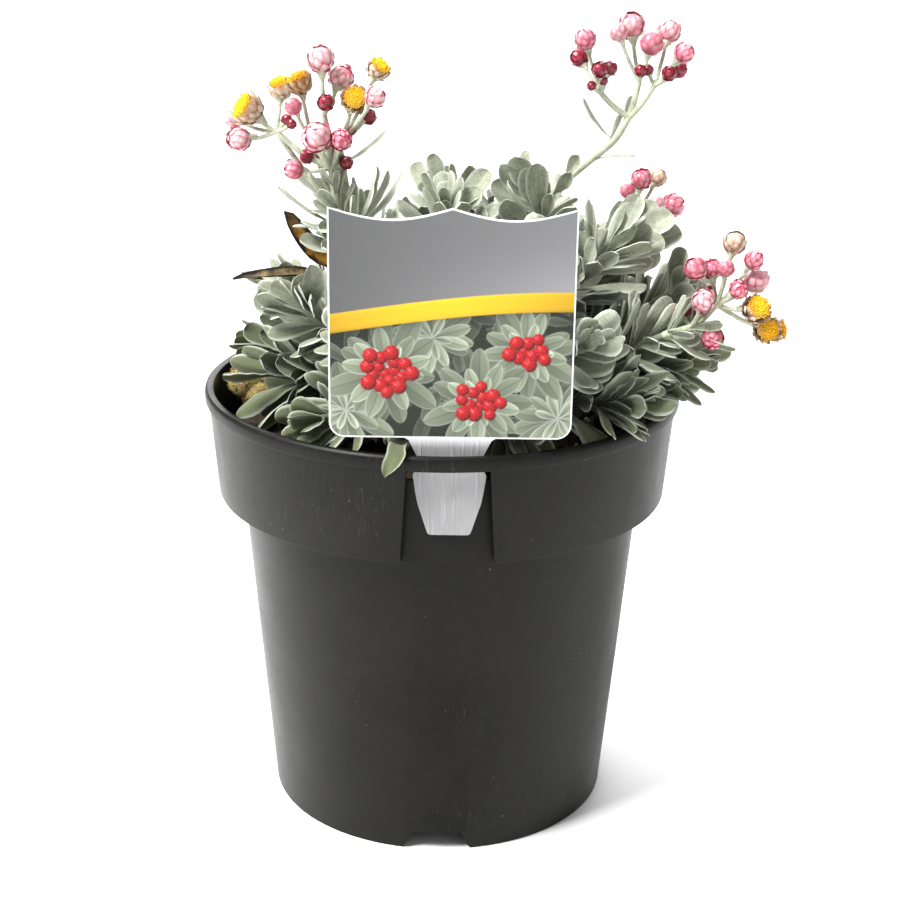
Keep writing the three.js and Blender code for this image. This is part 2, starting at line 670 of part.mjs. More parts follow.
// Leaf number k of a shoot, from the lowest and most open to the one at the tip.
function planLeaf(shoot, k) {
  const rise = k / (LEAVES_PER_SHOOT - 1);
  const low = shoot.ring === "skirt" ? 1 : 0;
  const turn = ((2 * k + 0.5) / STEM_SIDES) * 2 * Math.PI;
  const [across, up] = crossFrame(shoot.axis);
  const out = across.multiplyScalar(Math.cos(turn)).addScaledVector(up, Math.sin(turn));
  const open = lerp(68, shoot.spray ? 44 : 22, rise) + spread(shoot.id, k, 3, 6);
  const from = shoot.tip - lerp(30, 0, Math.pow(rise, 0.9));
  const falls = low * (1 - rise) * (out.z < 0.3 ? 1 : 0.3);
  return {
    axis: shoot.axis,
    out,
    root: onAxis(shoot, from).addScaledVector(out, STEM_TIP_RADIUS * 0.4),
    length: lerp(29 + 5 * low, 18, rise) * (1 + spread(shoot.id, k, 4, 0.1)),
    width: lerp(10.5, 7.4, rise) * (1 + spread(shoot.id, k, 5, 0.1)),
    thickness: LEAF_THICKNESS,
    twist: spread(shoot.id, k, 6, 0.35),
    sag: 7 * falls,
    opening: radians(open),
    curl: radians(lerp(22, -12, rise)),
  };
}

// Closes a leaf towards its shoot until all of it is clear and in the shoot's own cell. Null if none fits.
function fitLeaf(shoot, leaf) {
  for (let ease = 1; ease > 0.05; ease -= 0.05) {
    leaf.start = leaf.opening * ease * 0.8;
    leaf.end = (leaf.opening + leaf.curl) * ease + leaf.opening * ease * 0.2;
    const fits = [0.1, 0.2, 0.32, 0.45, 0.57, 0.69, 0.8, 0.87, 0.94, 1].every((share) => {
      const [middle, across] = leafFrame(leaf, share);
      const half = share === 1 ? 0 : (leaf.width / 2) * (share < 0.6 ? 0.8 : 1);
      return [-half, 0, half].every((reach) => {
        const p = middle.clone().addScaledVector(across, reach);
        return isClear(p) && inCell(shoot, p);
      });
    });
    if (fits) return leaf;
  }
  return null;
}

// A shoot's stem from inside the crown, or the room that it needs when a gap is given.
function shootStem(shoot, gap) {
  const run = [onAxis(shoot, CROWN_RADIUS * 0.9), onAxis(shoot, shoot.top)];
  return stem(run, [STEM_RADIUS + gap, STEM_TIP_RADIUS + gap], STEM_SIDES);
}

// A leafy shoot: its stem from the crown to the tip, with leaves in a spiral that closes towards the tip.
function makeShoot(shoot) {
  const leaves = Array.from({ length: LEAVES_PER_SHOOT }, (_, k) => fitLeaf(shoot, planLeaf(shoot, k)));
  return union([shootStem(shoot, 0).subtract(makeCrown(GAP)), ...leaves.filter(Boolean).map(leafBlade)]);
}

// A flower head: a ball whose papery scales stand out of it row by row, looking along its axis.
function headSolid({ at, radius, kind, facing: axis }) {
  const { columns, rows, relief, flat } = HEADS[kind];
  const [across, up] = crossFrame(axis);
  const rings = [];
  for (let r = 1; r <= rows; r++) {
    const polar = (r / (rows + 1)) * Math.PI;
    rings.push(
      Array.from({ length: columns }, (_, s) => {
        const turn = ((s + (r % 2) / 2) / columns) * 2 * Math.PI;
        const reach = radius * (1 + (s % 2 ? relief : -relief));
        return at
          .clone()
          .addScaledVector(axis, -Math.cos(polar) * radius * flat)
          .addScaledVector(across, Math.sin(polar) * reach * Math.cos(turn))
          .addScaledVector(up, Math.sin(polar) * reach * Math.sin(turn));
      }),
    );
  }
  const end = (side) => at.clone().addScaledVector(axis, side * radius * flat);
  return loft(rings, end(-1), end(kind === "open" ? 0.7 : 1));
}

// A spray: its stalk from just above its shoot, forked into pedicels that each end in a head.
function makeSpray(spray) {
  const path = stalkPath(spray);
  return union([
    stem(path, path.map(() => STALK_RADIUS), 4),
    ...sideRuns(spray).map(([from, to, radius]) => {
      const start = from.clone().addScaledVector(to.clone().sub(from).normalize(), -0.3);
      return stem([start, to], [radius * 0.9, PEDICEL_RADIUS], 3);
    }),
    ...placeHeads(spray).map(headSolid),
    ...spray.leaves.map((row) => leafBlade(stalkLeaf(spray, row))),
  ]);
}

// A withered leaf: a folded blade along its bent path, from the side of the stem that carries it.
function makeWithered(leaf) {
  const [root, bend, tip] = witheredPath(leaf);
  const across = tip.clone().sub(root).cross(vector(0, 0, 1)).normalize();
  const rings = [
    [root, 0.25],
    [bend, 1],
    [bend.clone().lerp(tip, 0.6), 0.7],
  ].map(([middle, wide]) => {
    const half = (WITHERED_WIDTH / 2) * wide;
    return [
      middle.clone().addScaledVector(across, half).add(vector(0, 0, 0.9)),
      middle.clone().addScaledVector(across, -half).add(vector(0, 0, 0.9)),
      middle.clone().add(vector(0, 0, -0.9)),
    ];
  });
  return loft(rings, root, tip).subtract(shootStem(withered, GAP));
}

const LEAF_LOOK = { color: 0x9ba694, roughness: 0.9, metalness: 0 };
const WOOD_LOOK = { color: 0x6b5a45, roughness: 0.9, metalness: 0 };
const BRACT_LOOK = { color: 0xc98591, roughness: 0.6, metalness: 0 };
const WITHERED_LOOK = { color: 0x7a5a34, roughness: 0.9, metalness: 0 };

// The woody crown and its taproot, or the plain hole that takes them when a gap is given.
function makeCrown(gap) {
  const size = 2 * (CROWN_RADIUS + gap);
  const root = vector(CROWN.x, CROWN.y, CROWN.z - ROOT_DEPTH - gap);
  return union([
    lump(CROWN.toArray(), [size, size, size], 10, 6, 0.05, 70),
    stem([CROWN, root], [9 + gap, 3 + gap], 6),
  ]);
}

const makeStone = (gap) => lump(STONE_CENTRE, STONE_SIZE.map((size) => size + 2 * gap), 8, 5, 0.1, 60);

const group = new THREE.Group();
group.add(piece("pot", makePot(), { color: 0x33322f, roughness: 0.55, metalness: 0 }));
const compost = makeSoil(makeCrown(0.5), makeStone(0.4));
group.add(piece("compost", compost, { color: 0x1d1712, roughness: 1, metalness: 0 }));
group.add(piece("label", makeLabel(), { color: 0xb4b6b8, roughness: 0.35, metalness: 0 }));
group.add(piece("mossy_stone", makeStone(0), { color: 0x8a7a3c, roughness: 0.95, metalness: 0 }));
group.add(piece("woody_crown", makeCrown(0), WOOD_LOOK));
for (const shoot of SHOOTS) group.add(piece(shoot.name, makeShoot(shoot), LEAF_LOOK));
for (const spray of SPRAYS) group.add(piece(spray.name, makeSpray(spray), BRACT_LOOK));
WITHERED.forEach((leaf, i) => group.add(piece(`withered_leaf_${i + 1}`, makeWithered(leaf), WITHERED_LOOK)));

export default group;
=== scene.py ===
"""A potted helichrysum: silver-leaved shoots and papery flower heads in a black pot with a label.

Every length in the tables below is in millimetres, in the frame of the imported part: +Z up, the
label towards -Y.
"""

import math

import bmesh
import bpy
import numpy as np
from mathutils import Matrix, Vector


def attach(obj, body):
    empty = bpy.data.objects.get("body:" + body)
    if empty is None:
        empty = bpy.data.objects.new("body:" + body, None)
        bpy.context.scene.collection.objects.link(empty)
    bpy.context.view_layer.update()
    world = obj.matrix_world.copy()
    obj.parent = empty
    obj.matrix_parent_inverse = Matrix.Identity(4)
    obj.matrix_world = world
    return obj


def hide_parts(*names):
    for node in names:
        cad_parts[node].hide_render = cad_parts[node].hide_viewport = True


bl_info = {
    "name": "Potted helichrysum",
    "version": (1, 0, 0),
    "blender": (4, 5, 0),
    "location": "View3D > Sidebar > Helichrysum",
    "description": "Dresses the pot, compost, shoots, flower sprays and label of a potted helichrysum",
    "category": "Add Mesh",
}

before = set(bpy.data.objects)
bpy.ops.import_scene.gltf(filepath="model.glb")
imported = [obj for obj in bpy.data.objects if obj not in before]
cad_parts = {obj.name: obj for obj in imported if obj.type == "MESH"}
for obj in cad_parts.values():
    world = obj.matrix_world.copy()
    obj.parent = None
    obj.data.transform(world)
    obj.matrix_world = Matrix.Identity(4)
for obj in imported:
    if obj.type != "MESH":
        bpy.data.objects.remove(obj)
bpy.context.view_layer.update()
MM = 0.001

# Pot and label, as in the part's source.
RIM_RADIUS = 85.0
POT_HEIGHT = 156.0
WALL = 1.4
BEAD_HEIGHT = 5.0
BEAD_WIDTH = 3.2
BAND_TOP_RADIUS = 83.6
BAND_BOTTOM_RADIUS = 80.9
BAND_BOTTOM_Z = 117.6
BODY_TOP_RADIUS = 72.0
FOOT_RADIUS = 62.0
FLOOR_Z = 8.0
FLOOR_PAD_RADIUS = 26.0
DRAIN_HOLES = 6
DRAIN_HOLE_RADIUS = 4.0
DRAIN_CIRCLE_RADIUS = 44.0
RECESS_X = 2.6
RECESS_RADIUS = 78.2
RECESS_TOP_WIDTH = 27.0
RECESS_BOTTOM_WIDTH = 31.0
SLOT_HEIGHT = 5.0
FOOT_NOTCHES = 3
NOTCH_HEIGHT = 7
NOTCH_TOP_WIDTH = 17
NOTCH_BOTTOM_WIDTH = 25
LABEL_X = 3.0
LABEL_BACK_Y = -78.55
LABEL_THICKNESS = 0.6
CARD_WIDTH = 77.0
CARD_BOTTOM_Z = 161.0
CARD_CORNER_Z = 235.0
CARD_SCALLOP = 3.6
CARD_CORNER_RADIUS = 5.0
PRINT_BORDER = 0.55
PRINT_THICKNESS = 0.05
BAND_LOW_Z = 198.0
BAND_RISE = 8.0
BAND_HALF = 3.1
# The left side of the label's tail, from the card down.
LABEL_TAIL = (
    (-14.5, 161), (-13.2, 160.2), (-11.4, 156.5), (-9.9, 153.4), (-9.6, 152.2), (-10.2, 150.6),
    (-11.5, 149.1), (-11.8, 148.2), (-10.9, 142), (-10.2, 138.5), (-7.4, 129.6), (-6.9, 128.3), (-6.1, 127.8),
)
# Leaf rosettes in the print: centre, reach of the longest leaves, and flower heads on top.
PRINT_ROSETTES = (
    (-33, 170, 15, 0), (34, 168, 16, 0), (-6, 194, 14, 0),
    (24, 190, 16, 10), (-20, 183, 18, 17), (9, 173, 17, 13),
)
# Rings of leaves in a rosette, from the outermost: how many, share of the reach, and brightness.
PRINT_RINGS = ((11, 1.0, 0.55), (9, 0.78, 0.85), (6, 0.52, 1.05))
PRINT_COLUMNS = 250
PRINT_ROWS = 240
PRINT_LOOSE_LEAVES = 90
# How far the edges of printed shapes fade.
PRINT_EDGE = 0.3
SOIL_Z = 141.0
STONE_CENTRE = np.array([-67.0, 12.0, 147.2])
STONE_SIZE = np.array([16.0, 19.0, 13.0])
# The mossy lump at the stone's left, from the stone's centre, and the middle of what is seen of both.
LUMP_OFFSET = np.array([-5.2, -2, 3.8])
LUMP_RADIUS = 6.6
STONE_SEEN = STONE_CENTRE + np.array([-5, 0, 3])
MOSS_STRANDS = 420
PERLITE_GRAINS = 34
# A grain of perlite that the photograph shows in front.
FRONT_GRAIN = np.array([-53.5, -46, SOIL_Z + 2.6])
# Separate pieces keep this gap.
GAP = 0.3

# The plant's growth rule, as in the part's source.
CROWN = np.array([12.0, 0.0, 145.0])
CROWN_RADIUS = 14.0
ROOT_DEPTH = 34.0
DOME = np.array([92.0, 88.0, 91.0])
DOME_SHOULDER = 0.09
LABEL_CLEARANCE = 2.0
CELL_MARGIN = 1.05
# The smaller leaves may pass their shoot's cell and come nearer to stalks and heads by this much.
FILL_CELL_MARGIN = -1.2
FILL_SLACK = 1.0
STEM_RADIUS = 1.6
STEM_TIP_RADIUS = 1.3
STEM_SIDES = 5
# Each ring's range of painted light and shade, from its darkest leaves to its palest: crest leaves painted in
# light, skirt leaves in painted shade and partly older olive leaves.
LEAF_PAINTED_SHADES = {"crest": (0.5, 1.0), "upper": (0.4, 0.95), "middle": (0.25, 0.85), "skirt": (0.0, 0.5)}
LEAVES_PER_SHOOT = 8
RING_JITTER = 2.0
SKIRT_LIFT = 6.0
GOLDEN_ANGLE = math.radians(137.508)
# Where each kind of small thing starts its own stream of draws; shoots use their numbers, 0 to 33.
WILD_LEAF_DRAWS = 60
BUD_DRAWS = 80
CRUMB_DRAWS = 300
PERLITE_DRAWS = 301
MOSS_DRAWS = 302
LOOSE_LEAF_DRAWS = 400
ROSETTE_DRAWS = 410
POMPON_DRAWS = 430
BUNDLE_START_DRAWS = 500
BUNDLE_BEND_DRAWS = 501
RINGS = (("crest", 74, 0, 3), ("upper", 54, 202, 8), ("middle", 32, 333, 11), ("skirt", 12, 345, 12))
# How far heads may be moved in depth, in the order tried.
HEAD_DEPTHS = (0, 4, -4, 8, -8, 12, -12)
STALK_RADIUS = 1.2
PEDICEL_RADIUS = 0.65

# Sprays: shoot, azimuth and elevation, depth, stalk, forks, the stalk's leaves as point of the stalk, tip and
# width, and heads as fork, x, z, radius, kind, azimuth, elevation and tint.
SPRAYS = {
    "spray_left": {
        "shoot": "shoot_upper_1",
        "heading": (202, 56),
        "depth": -21,
        "stalk": ((-36, -19, 222), (-38, -21, 236)),
        "forks": ((-38, -21, 236), (-35, -22, 245), (-44, -19, 244), (-40, -22, 254), (-56, -22, 248)),
        "leaves": (
            (1, (-55, -28, 231), 5),
            (1, (-13.5, -27, 237), 6),
            (1, (-22.5, -32, 239), 6),
            (1, (-19, -12, 234), 6.5),
            (1, (-45, -8, 230), 7),
            (2, (-53, -15, 238), 4.6),
            (3, (-19.5, -22, 249), 4.4),
        ),
        "wild_leaves": 22,
        "heads": (
            (3, -41, 272, 4.7, "ball", 250, 60, "blush"),
            (3, -35, 265, 4.4, "ball", 300, 40, "blush"),
            (2, -48, 264, 4.1, "open", 200, 60, "amber"),
            (4, -55, 261, 4.1, "open", 230, 70, "cream"),
            (2, -50, 257, 3, "ball", 120, 30, "rose"),
            (4, -65, 255, 5, "open", 205, 35, "straw"),
            (4, -71, 251, 3.4, "ball", 180, 20, "blush"),
            (4, -68, 246, 4.1, "ball", 230, 0, "blush"),
            (1, -30, 259, 4.1, "open", 275, 20, "cream"),
            (1, -23, 267, 3.8, "open", 320, 50, "cream"),
            (1, -23, 261, 3.7, "ball", 350, 20, "blush"),
            (3, -39, 259, 3, "bud", 260, 50, "crimson"),
            (1, -26, 252, 3, "bud", 330, 40, "crimson"),
            (0, -42, 248, 5.1, "ball", 240, 20, "blush"),
            (0, -34, 247, 3.8, "ball", 290, 20, "rose"),
            (0, -46, 240, 2.8, "bud", 190, 10, "crimson"),
            (0, -50, 236.5, 3.4, "ball", 200, -10, "rose"),
            (0, -33, 238, 2.6, "bud", 350, 20, "crimson"),
        ),
    },
    "spray_crest": {
        "shoot": "shoot_crest_1",
        "heading": (0, 72),
        "depth": 0,
        "stalk": ((49, 0.6, 235), (58, -0.5, 243), (63, 0.3, 251)),
        "forks": ((66, 1.2, 263), (71, -1, 262), (53, 0.7, 259)),
        "leaves": ((3, (46.5, -3, 258), 4.4),),
        "wild_leaves": 5,
        "heads": (
            (2, 47, 277, 3.8, "ball", 200, 60, "rose"),
            (2, 46, 270, 3.5, "ball", 200, 20, "crimson"),
            (2, 52, 267.5, 3, "bud", 270, 50, "crimson"),
            (2, 56, 267, 2.8, "bud", 40, 50, "crimson"),
            (0, 58, 279.5, 3.2, "ball", 120, 70, "blush"),
            (0, 63, 281, 4.9, "ball", 270, 60, "blush"),
            (0, 69.5, 276, 4.2, "ball", 60, 50, "rose"),
            (1, 76, 279, 4.2, "ball", 330, 60, "blush"),
            (1, 80.5, 273, 3.8, "ball", 340, 30, "rose"),
            (1, 80, 266.5, 3.2, "ball", 10, 0, "crimson"),
            (1, 75, 267, 2.8, "bud", 290, 40, "crimson"),
        ),
    },
    "spray_right": {
        "shoot": "shoot_middle_1",
        "heading": (333, 28),
        "depth": -36,
        "stalk": ((84, -33, 186),),
        "forks": ((84, -33, 186), (92, -34, 194)),
        "leaves": ((2, (98, -42, 181), 4.6), (2, (88, -26, 203), 4.4)),
        "wild_leaves": 12,
        "heads": (
            (1, 84, 207, 4, "ball", 200, 50, "rose"),
            (1, 90.5, 205, 3.6, "ball", 250, 50, "rose"),
            (1, 94, 207, 3, "ball", 90, 60, "rose"),
            (1, 97.5, 214, 4.1, "ball", 280, 70, "straw"),
            (1, 103, 210, 3.4, "ball", 330, 50, "rose"),
            (1, 98, 201, 3.4, "ball", 280, 30, "rose"),
            (1, 105, 202, 4.4, "ball", 10, 40, "blush"),
            (0, 86.5, 197, 4.1, "ball", 240, 40, "blush"),
            (0, 84, 190, 2.4, "bud", 230, 0, "crimson"),
            (0, 91, 183, 4.1, "ball", 260, -10, "rose"),
            (1, 104, 194, 4.4, "open", 290, 35, "cream"),
            (1, 108.5, 186.5, 4.1, "open", 285, 5, "cream"),
            (1, 113.5, 184, 3.8, "open", 350, 10, "amber"),
        ),
    },
    "spray_back": {
        "shoot": "shoot_upper_5",
        "heading": (34, 46),
        "depth": 36,
        "stalk": ((70, 36, 210),),
        "forks": ((70, 36, 210),),
        "leaves": (),
        "wild_leaves": 6,
        "heads": (
            (0, 72, 223, 4.1, "ball", 250, 60, "rose"),
            (0, 79, 222, 3.4, "ball", 330, 60, "straw"),
            (0, 84, 213.5, 4.5, "ball", 340, 20, "rose"),
            (0, 68, 217, 3.2, "bud", 150, 50, "rose"),
            (0, 77, 215, 3.4, "ball", 60, 40, "blush"),
        ),
    },
}
# Heads seen in front of the stems: spray, number and depth.
FRONT_HEADS = (("spray_left", 13, -30), ("spray_left", 16, -27))
WITHERED_SHOOT = "shoot_upper_1"
WITHERED = ((66, (-42, -19, 206), (-54, -20, 221)), (60, (-50, -21, 200), (-72, -21, 198)))
# How each withered leaf looks: the way it faces, width, roll of its margins and shade.
WITHERED_LOOKS = (((0.35, -1, 0.35), 8.05, 0.35, 1.0), ((0, -0.55, 1), 5.25, 0.8, 0.2))
WITHERED_WIDTH = 7.0
STALK_LEAF_BOW = 0.25
# Leaves that close gaps seen from the front: for each shoot, reach along it, tip and width.
FILLERS = {
    "crest_1": (
        (78, (18.8, -8, 235.5), 7),
        (76, (16.5, -4, 229), 8),
        (70, (20, -22, 226), 8),
        (79, (23.9, -8, 238.4), 7.5),
        (74, (28, -8, 234.6), 7.5),
        (72, (21.5, -14, 230.6), 7.5),
        (72, (31.5, -12, 237), 7),
    ),
    "crest_3": ((78, (15, -10, 234), 7.5), (76, (11, -14, 229), 7)),
    "upper_1": (
        (76, (-48, -30, 213.5), 7),
        (76, (-42, -30, 218.3), 7),
        (74, (-40.1, -38, 213), 7.5),
    ),
    "middle_8": (
        (75, (-50, -34, 201), 8),
        (74, (-58, -32, 198), 8),
        (78, (-64, -28, 193), 8),
        (76, (-44, -38, 207), 8.5),
    ),
    "upper_4": (
        (66, (50, -16, 214), 8.5),
        (80, (78.9, -5, 218.8), 8),
        (80, (82.3, -5, 212.8), 8),
        (80, (73.4, 0, 222), 7.5),
        (78, (68, 0, 224), 7),
        (76, (75.4, -14, 212), 8.5),
        (72, (69.8, -20, 217.7), 8.5),
    ),
    "middle_2": ((81, (84, -8, 206.8), 8), (80, (85.6, -10, 200), 7.5), (78, (87, -16, 194), 8)),
}
FILLER_WIDENING = 1.2
FILLER_FACING = np.array([-0.15, -0.75, 0.65])
# The long leaf that hangs over the rim below the card: its shoot, its way on from the shoot's tip, its width
# and the way it faces.
HANGING_SHOOT = "shoot_skirt_10"
HANGING_PATH = (
    (-10, -70, 158.2), (-13.5, -79, 158.8), (-14, -85, 157.6), (-15.5, -88, 155), (-17.5, -89, 151.6),
)
HANGING_WIDTH = 7.0
HANGING_FACING = np.array([-0.15, -0.6, 0.8])
# The fitted camera of the photograph: place, downward tilt and roll in degrees, and focal length.
CAMERA_PLACE = np.array([3.04, -620.4, 346.9])
CAMERA_TILT = 19.33
CAMERA_ROLL = 0.762
CAMERA_LENS = 71.96
CAMERA_SENSOR = 36
# The studio: lights as name, place in metres, size and power, the point they face, and the room's own light.
STUDIO_LIGHTS = (
    ("key", (-0.95, -0.6, 1.6), 0.7, 78),
    ("fill", (1.2, -0.9, 0.7), 1.2, 2),
    ("back", (-0.2, 2.6, 2.3), 3.6, 205),
)
STUDIO_AIM = (0, 0, 0.17)
ROOM_LIGHT = 0.44

# Scales round a head: how many, the polar angle of the lowest and highest tips, and each scale's width and
# length as shares of the radius.
HEAD_FORMS = {
    "bud": {"scales": 17, "lowest": 2.0, "highest": 0.15, "width": 0.88, "arc": 1.0},
    "ball": {"scales": 34, "lowest": 2.25, "highest": 0.12, "width": 0.74, "arc": 1.1},
    "open": {"scales": 40, "lowest": 2.3, "highest": 0.92, "width": 0.58, "arc": 0.95},
}
# Tints of the scales: at the foot, along the edges and down the middle of the tip.
TINTS = {
    "blush": ((0.38, 0.05, 0.08), (0.82, 0.33, 0.4), (1.0, 0.88, 0.86)),
    "rose": ((0.3, 0.02, 0.05), (0.68, 0.12, 0.2), (0.95, 0.5, 0.56)),
    "crimson": ((0.06, 0.002, 0.005), (0.2, 0.005, 0.018), (0.52, 0.03, 0.075)),
    "cream": ((0.3, 0.2, 0.1), (0.74, 0.6, 0.44), (0.97, 0.92, 0.82)),
    "straw": ((0.25, 0.14, 0.06), (0.58, 0.42, 0.27), (0.92, 0.82, 0.68)),
    "amber": ((0.14, 0.07, 0.03), (0.4, 0.24, 0.1), (0.68, 0.5, 0.27)),
}
FLORETS_PER_HEAD = 120
FLORETS = {"amber": (0.88, 0.42, 0.01), "cream": (1.0, 0.68, 0.012), "straw": (1.0, 0.86, 0.02)}


WHITE = (1, 1, 1, 1)


# Draws and small vector helpers


def imul(a, b):
    return (a * b) & 0xFFFFFFFF


def draw(shoot, item, use):
    """One repeatable draw from 0 to 1 for each shoot, item on it and use."""
    h = imul(shoot + 1, 73856093) ^ imul(item + 1, 19349663) ^ imul(use + 1, 83492791)
    h = imul(h ^ (h >> 15), 2246822519)
    h = imul(h ^ (h >> 13), 3266489917)
    return (h ^ (h >> 16)) / 4294967296


def spread(shoot, item, use, amount):
    return (draw(shoot, item, use) * 2 - 1) * amount


def lerp(a, b, t):
    return a + (b - a) * t


def unit(v):
    return v / np.linalg.norm(v)


def distance(points, place):
    return np.linalg.norm(points - place, axis=1)


def on_sphere(azimuth, elevation):
    az, el = math.radians(azimuth), math.radians(elevation)
    return np.array([math.cos(el) * math.cos(az), math.cos(el) * math.sin(az), math.sin(el)])


def cross_frame(axis, lean=None):
    """Two directions across an axis, at right angles to it and each other."""
    lean = axis if lean is None else lean
    reference = np.array([0, 0, 1.0]) if abs(lean[2]) < 0.8 else np.array([1.0, 0, 0])
    across = unit(np.cross(reference, axis))
    return across, unit(np.cross(axis, across))


def outwards(axes, turn):
    """The direction at a turn in the plane of two axes, from the first towards the second."""
    return axes[0] * math.cos(turn) + axes[1] * math.sin(turn)


def circle(axes, sides):
    turns = np.arange(sides) / sides * 2 * math.pi
    return np.cos(turns)[:, None] * axes[0] + np.sin(turns)[:, None] * axes[1]


def turned_about(v, axis, angle):
    c, s = math.cos(angle), math.sin(angle)
    return v * c + np.cross(axis, v) * s + axis * np.dot(axis, v) * (1 - c)


# Mesh building


class Skin:
    """Points, faces and a colour for each point, gathered into one mesh."""

    def __init__(self):
        self.points, self.faces, self.tones, self.count = [], [], [], 0

    def add(self, points, faces, tones):
        points = np.asarray(points, float)
        tones = np.asarray(tones, float)
        if tones.ndim == 1:
            tones = np.tile(tones, (len(points), 1))
        if tones.shape[1] == 3:
            tones = np.hstack([tones, np.ones((len(tones), 1))])
        self.points.append(points)
        self.tones.append(tones)
        self.faces.extend([tuple(i + self.count for i in face) for face in faces])
        self.count += len(points)

    def loft(self, rings, tones):
        """Closed rings of equal length joined into a skin, with a flat cap at each end."""
        sides, n = len(rings[0]), len(rings)
        faces = []
        for r in range(n - 1):
            for s in range(sides):
                t = (s + 1) % sides
                faces.append((r * sides + s, r * sides + t, (r + 1) * sides + t, (r + 1) * sides + s))
        faces.append(tuple(reversed(range(sides))))
        faces.append(tuple(range((n - 1) * sides, n * sides)))
        self.add(np.concatenate(rings), faces, tones)

    def object(self, name, materials, smooth=35):
        mesh = bpy.data.meshes.new(name)
        mesh.from_pydata((np.concatenate(self.points) * MM).tolist(), [], self.faces)
        layer = mesh.attributes.new("tone", "FLOAT_COLOR", "POINT")
        layer.data.foreach_set("color", np.concatenate(self.tones).astype(np.float32).ravel())
        return placed(name, mesh, materials, smooth)


def placed(name, mesh, materials, smooth=35):
    mesh.update()
    mesh.shade_smooth()
    mesh.set_sharp_from_angle(angle=math.radians(smooth))
    for material in materials if isinstance(materials, (list, tuple)) else [materials]:
        mesh.materials.append(material)
    return linked(name, mesh)


def linked(name, data):
    """A new object in the scene."""
    made = bpy.data.objects.new(name, data)
    bpy.context.scene.collection.objects.link(made)
    return made


def seat(piece, slot, *nodes):
    """Rides a finished piece on the part and hides the part's solids that it stands for."""
    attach(piece, "root")
    if nodes:
        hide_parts(*nodes)


def turned(profile, sides):
    """A closed profile of (radius, height) points turned round the upright axis."""
    rings = []
    for i in range(sides):
        a = i / sides * 2 * math.pi
        rings.append(np.array([(r * math.cos(a), r * math.sin(a), z) for r, z in profile]))
    m = len(profile)
    points, faces = np.concatenate(rings), []
    for i in range(sides):
        j = (i + 1) % sides
        for k in range(m):
            n = (k + 1) % m
            if profile[k][0] == 0 and profile[n][0] == 0:
                continue
            faces.append((i * m + k, j * m + k, j * m + n, i * m + n))
    return clean_mesh(points, faces)


def clean_mesh(points, faces):
    """A mesh with doubled points joined, empty faces gone and all faces outwards."""
    mesh = bpy.data.meshes.new("clean")
    mesh.from_pydata((np.array(points) * MM).tolist(), [], faces)
    edit = bmesh.new()
    edit.from_mesh(mesh)
    bmesh.ops.remove_doubles(edit, verts=edit.verts, dist=1e-6)
    bmesh.ops.dissolve_degenerate(edit, dist=1e-7, edges=edit.edges)
    bmesh.ops.recalc_face_normals(edit, faces=edit.faces)
    edit.to_mesh(mesh)
    edit.free()
    return mesh


def plate(outline, y, thickness):
    """A flat (x, z) outline, as thick as given, from the plane y towards -Y."""
    n = len(outline)
    points = [(x, y, z) for x, z in outline] + [(x, y - thickness, z) for x, z in outline]
    faces = [tuple(range(n)), tuple(reversed(range(n, 2 * n)))]
    faces += [(i, i + n, (i + 1) % n + n, (i + 1) % n) for i in range(n)]
    return clean_mesh(points, faces)


def carve(mesh, *steps):
    """Joins to, cuts from or keeps within a mesh each (operation, mesh, matrix), and returns the result."""
    base = linked("carved", mesh)
    tools = []
    for operation, tool_mesh, matrix in steps:
        tool = linked("tool", tool_mesh)
        tool.matrix_world = matrix
        cut = base.modifiers.new("carve", "BOOLEAN")
        cut.operation, cut.solver, cut.object = operation, "EXACT", tool
        tools.append(tool)
    bpy.context.view_layer.update()
    graph = bpy.context.evaluated_depsgraph_get()
    result = bpy.data.meshes.new_from_object(base.evaluated_get(graph))
    for thing in (base, *tools):
        old = thing.data
        bpy.data.objects.remove(thing)
        if old.users == 0:
            bpy.data.meshes.remove(old)
    return result


STILL = Matrix.Identity(4)


def shifted(x=0.0, y=0.0, z=0.0):
    return Matrix.Translation((x * MM, y * MM, z * MM))


# Materials


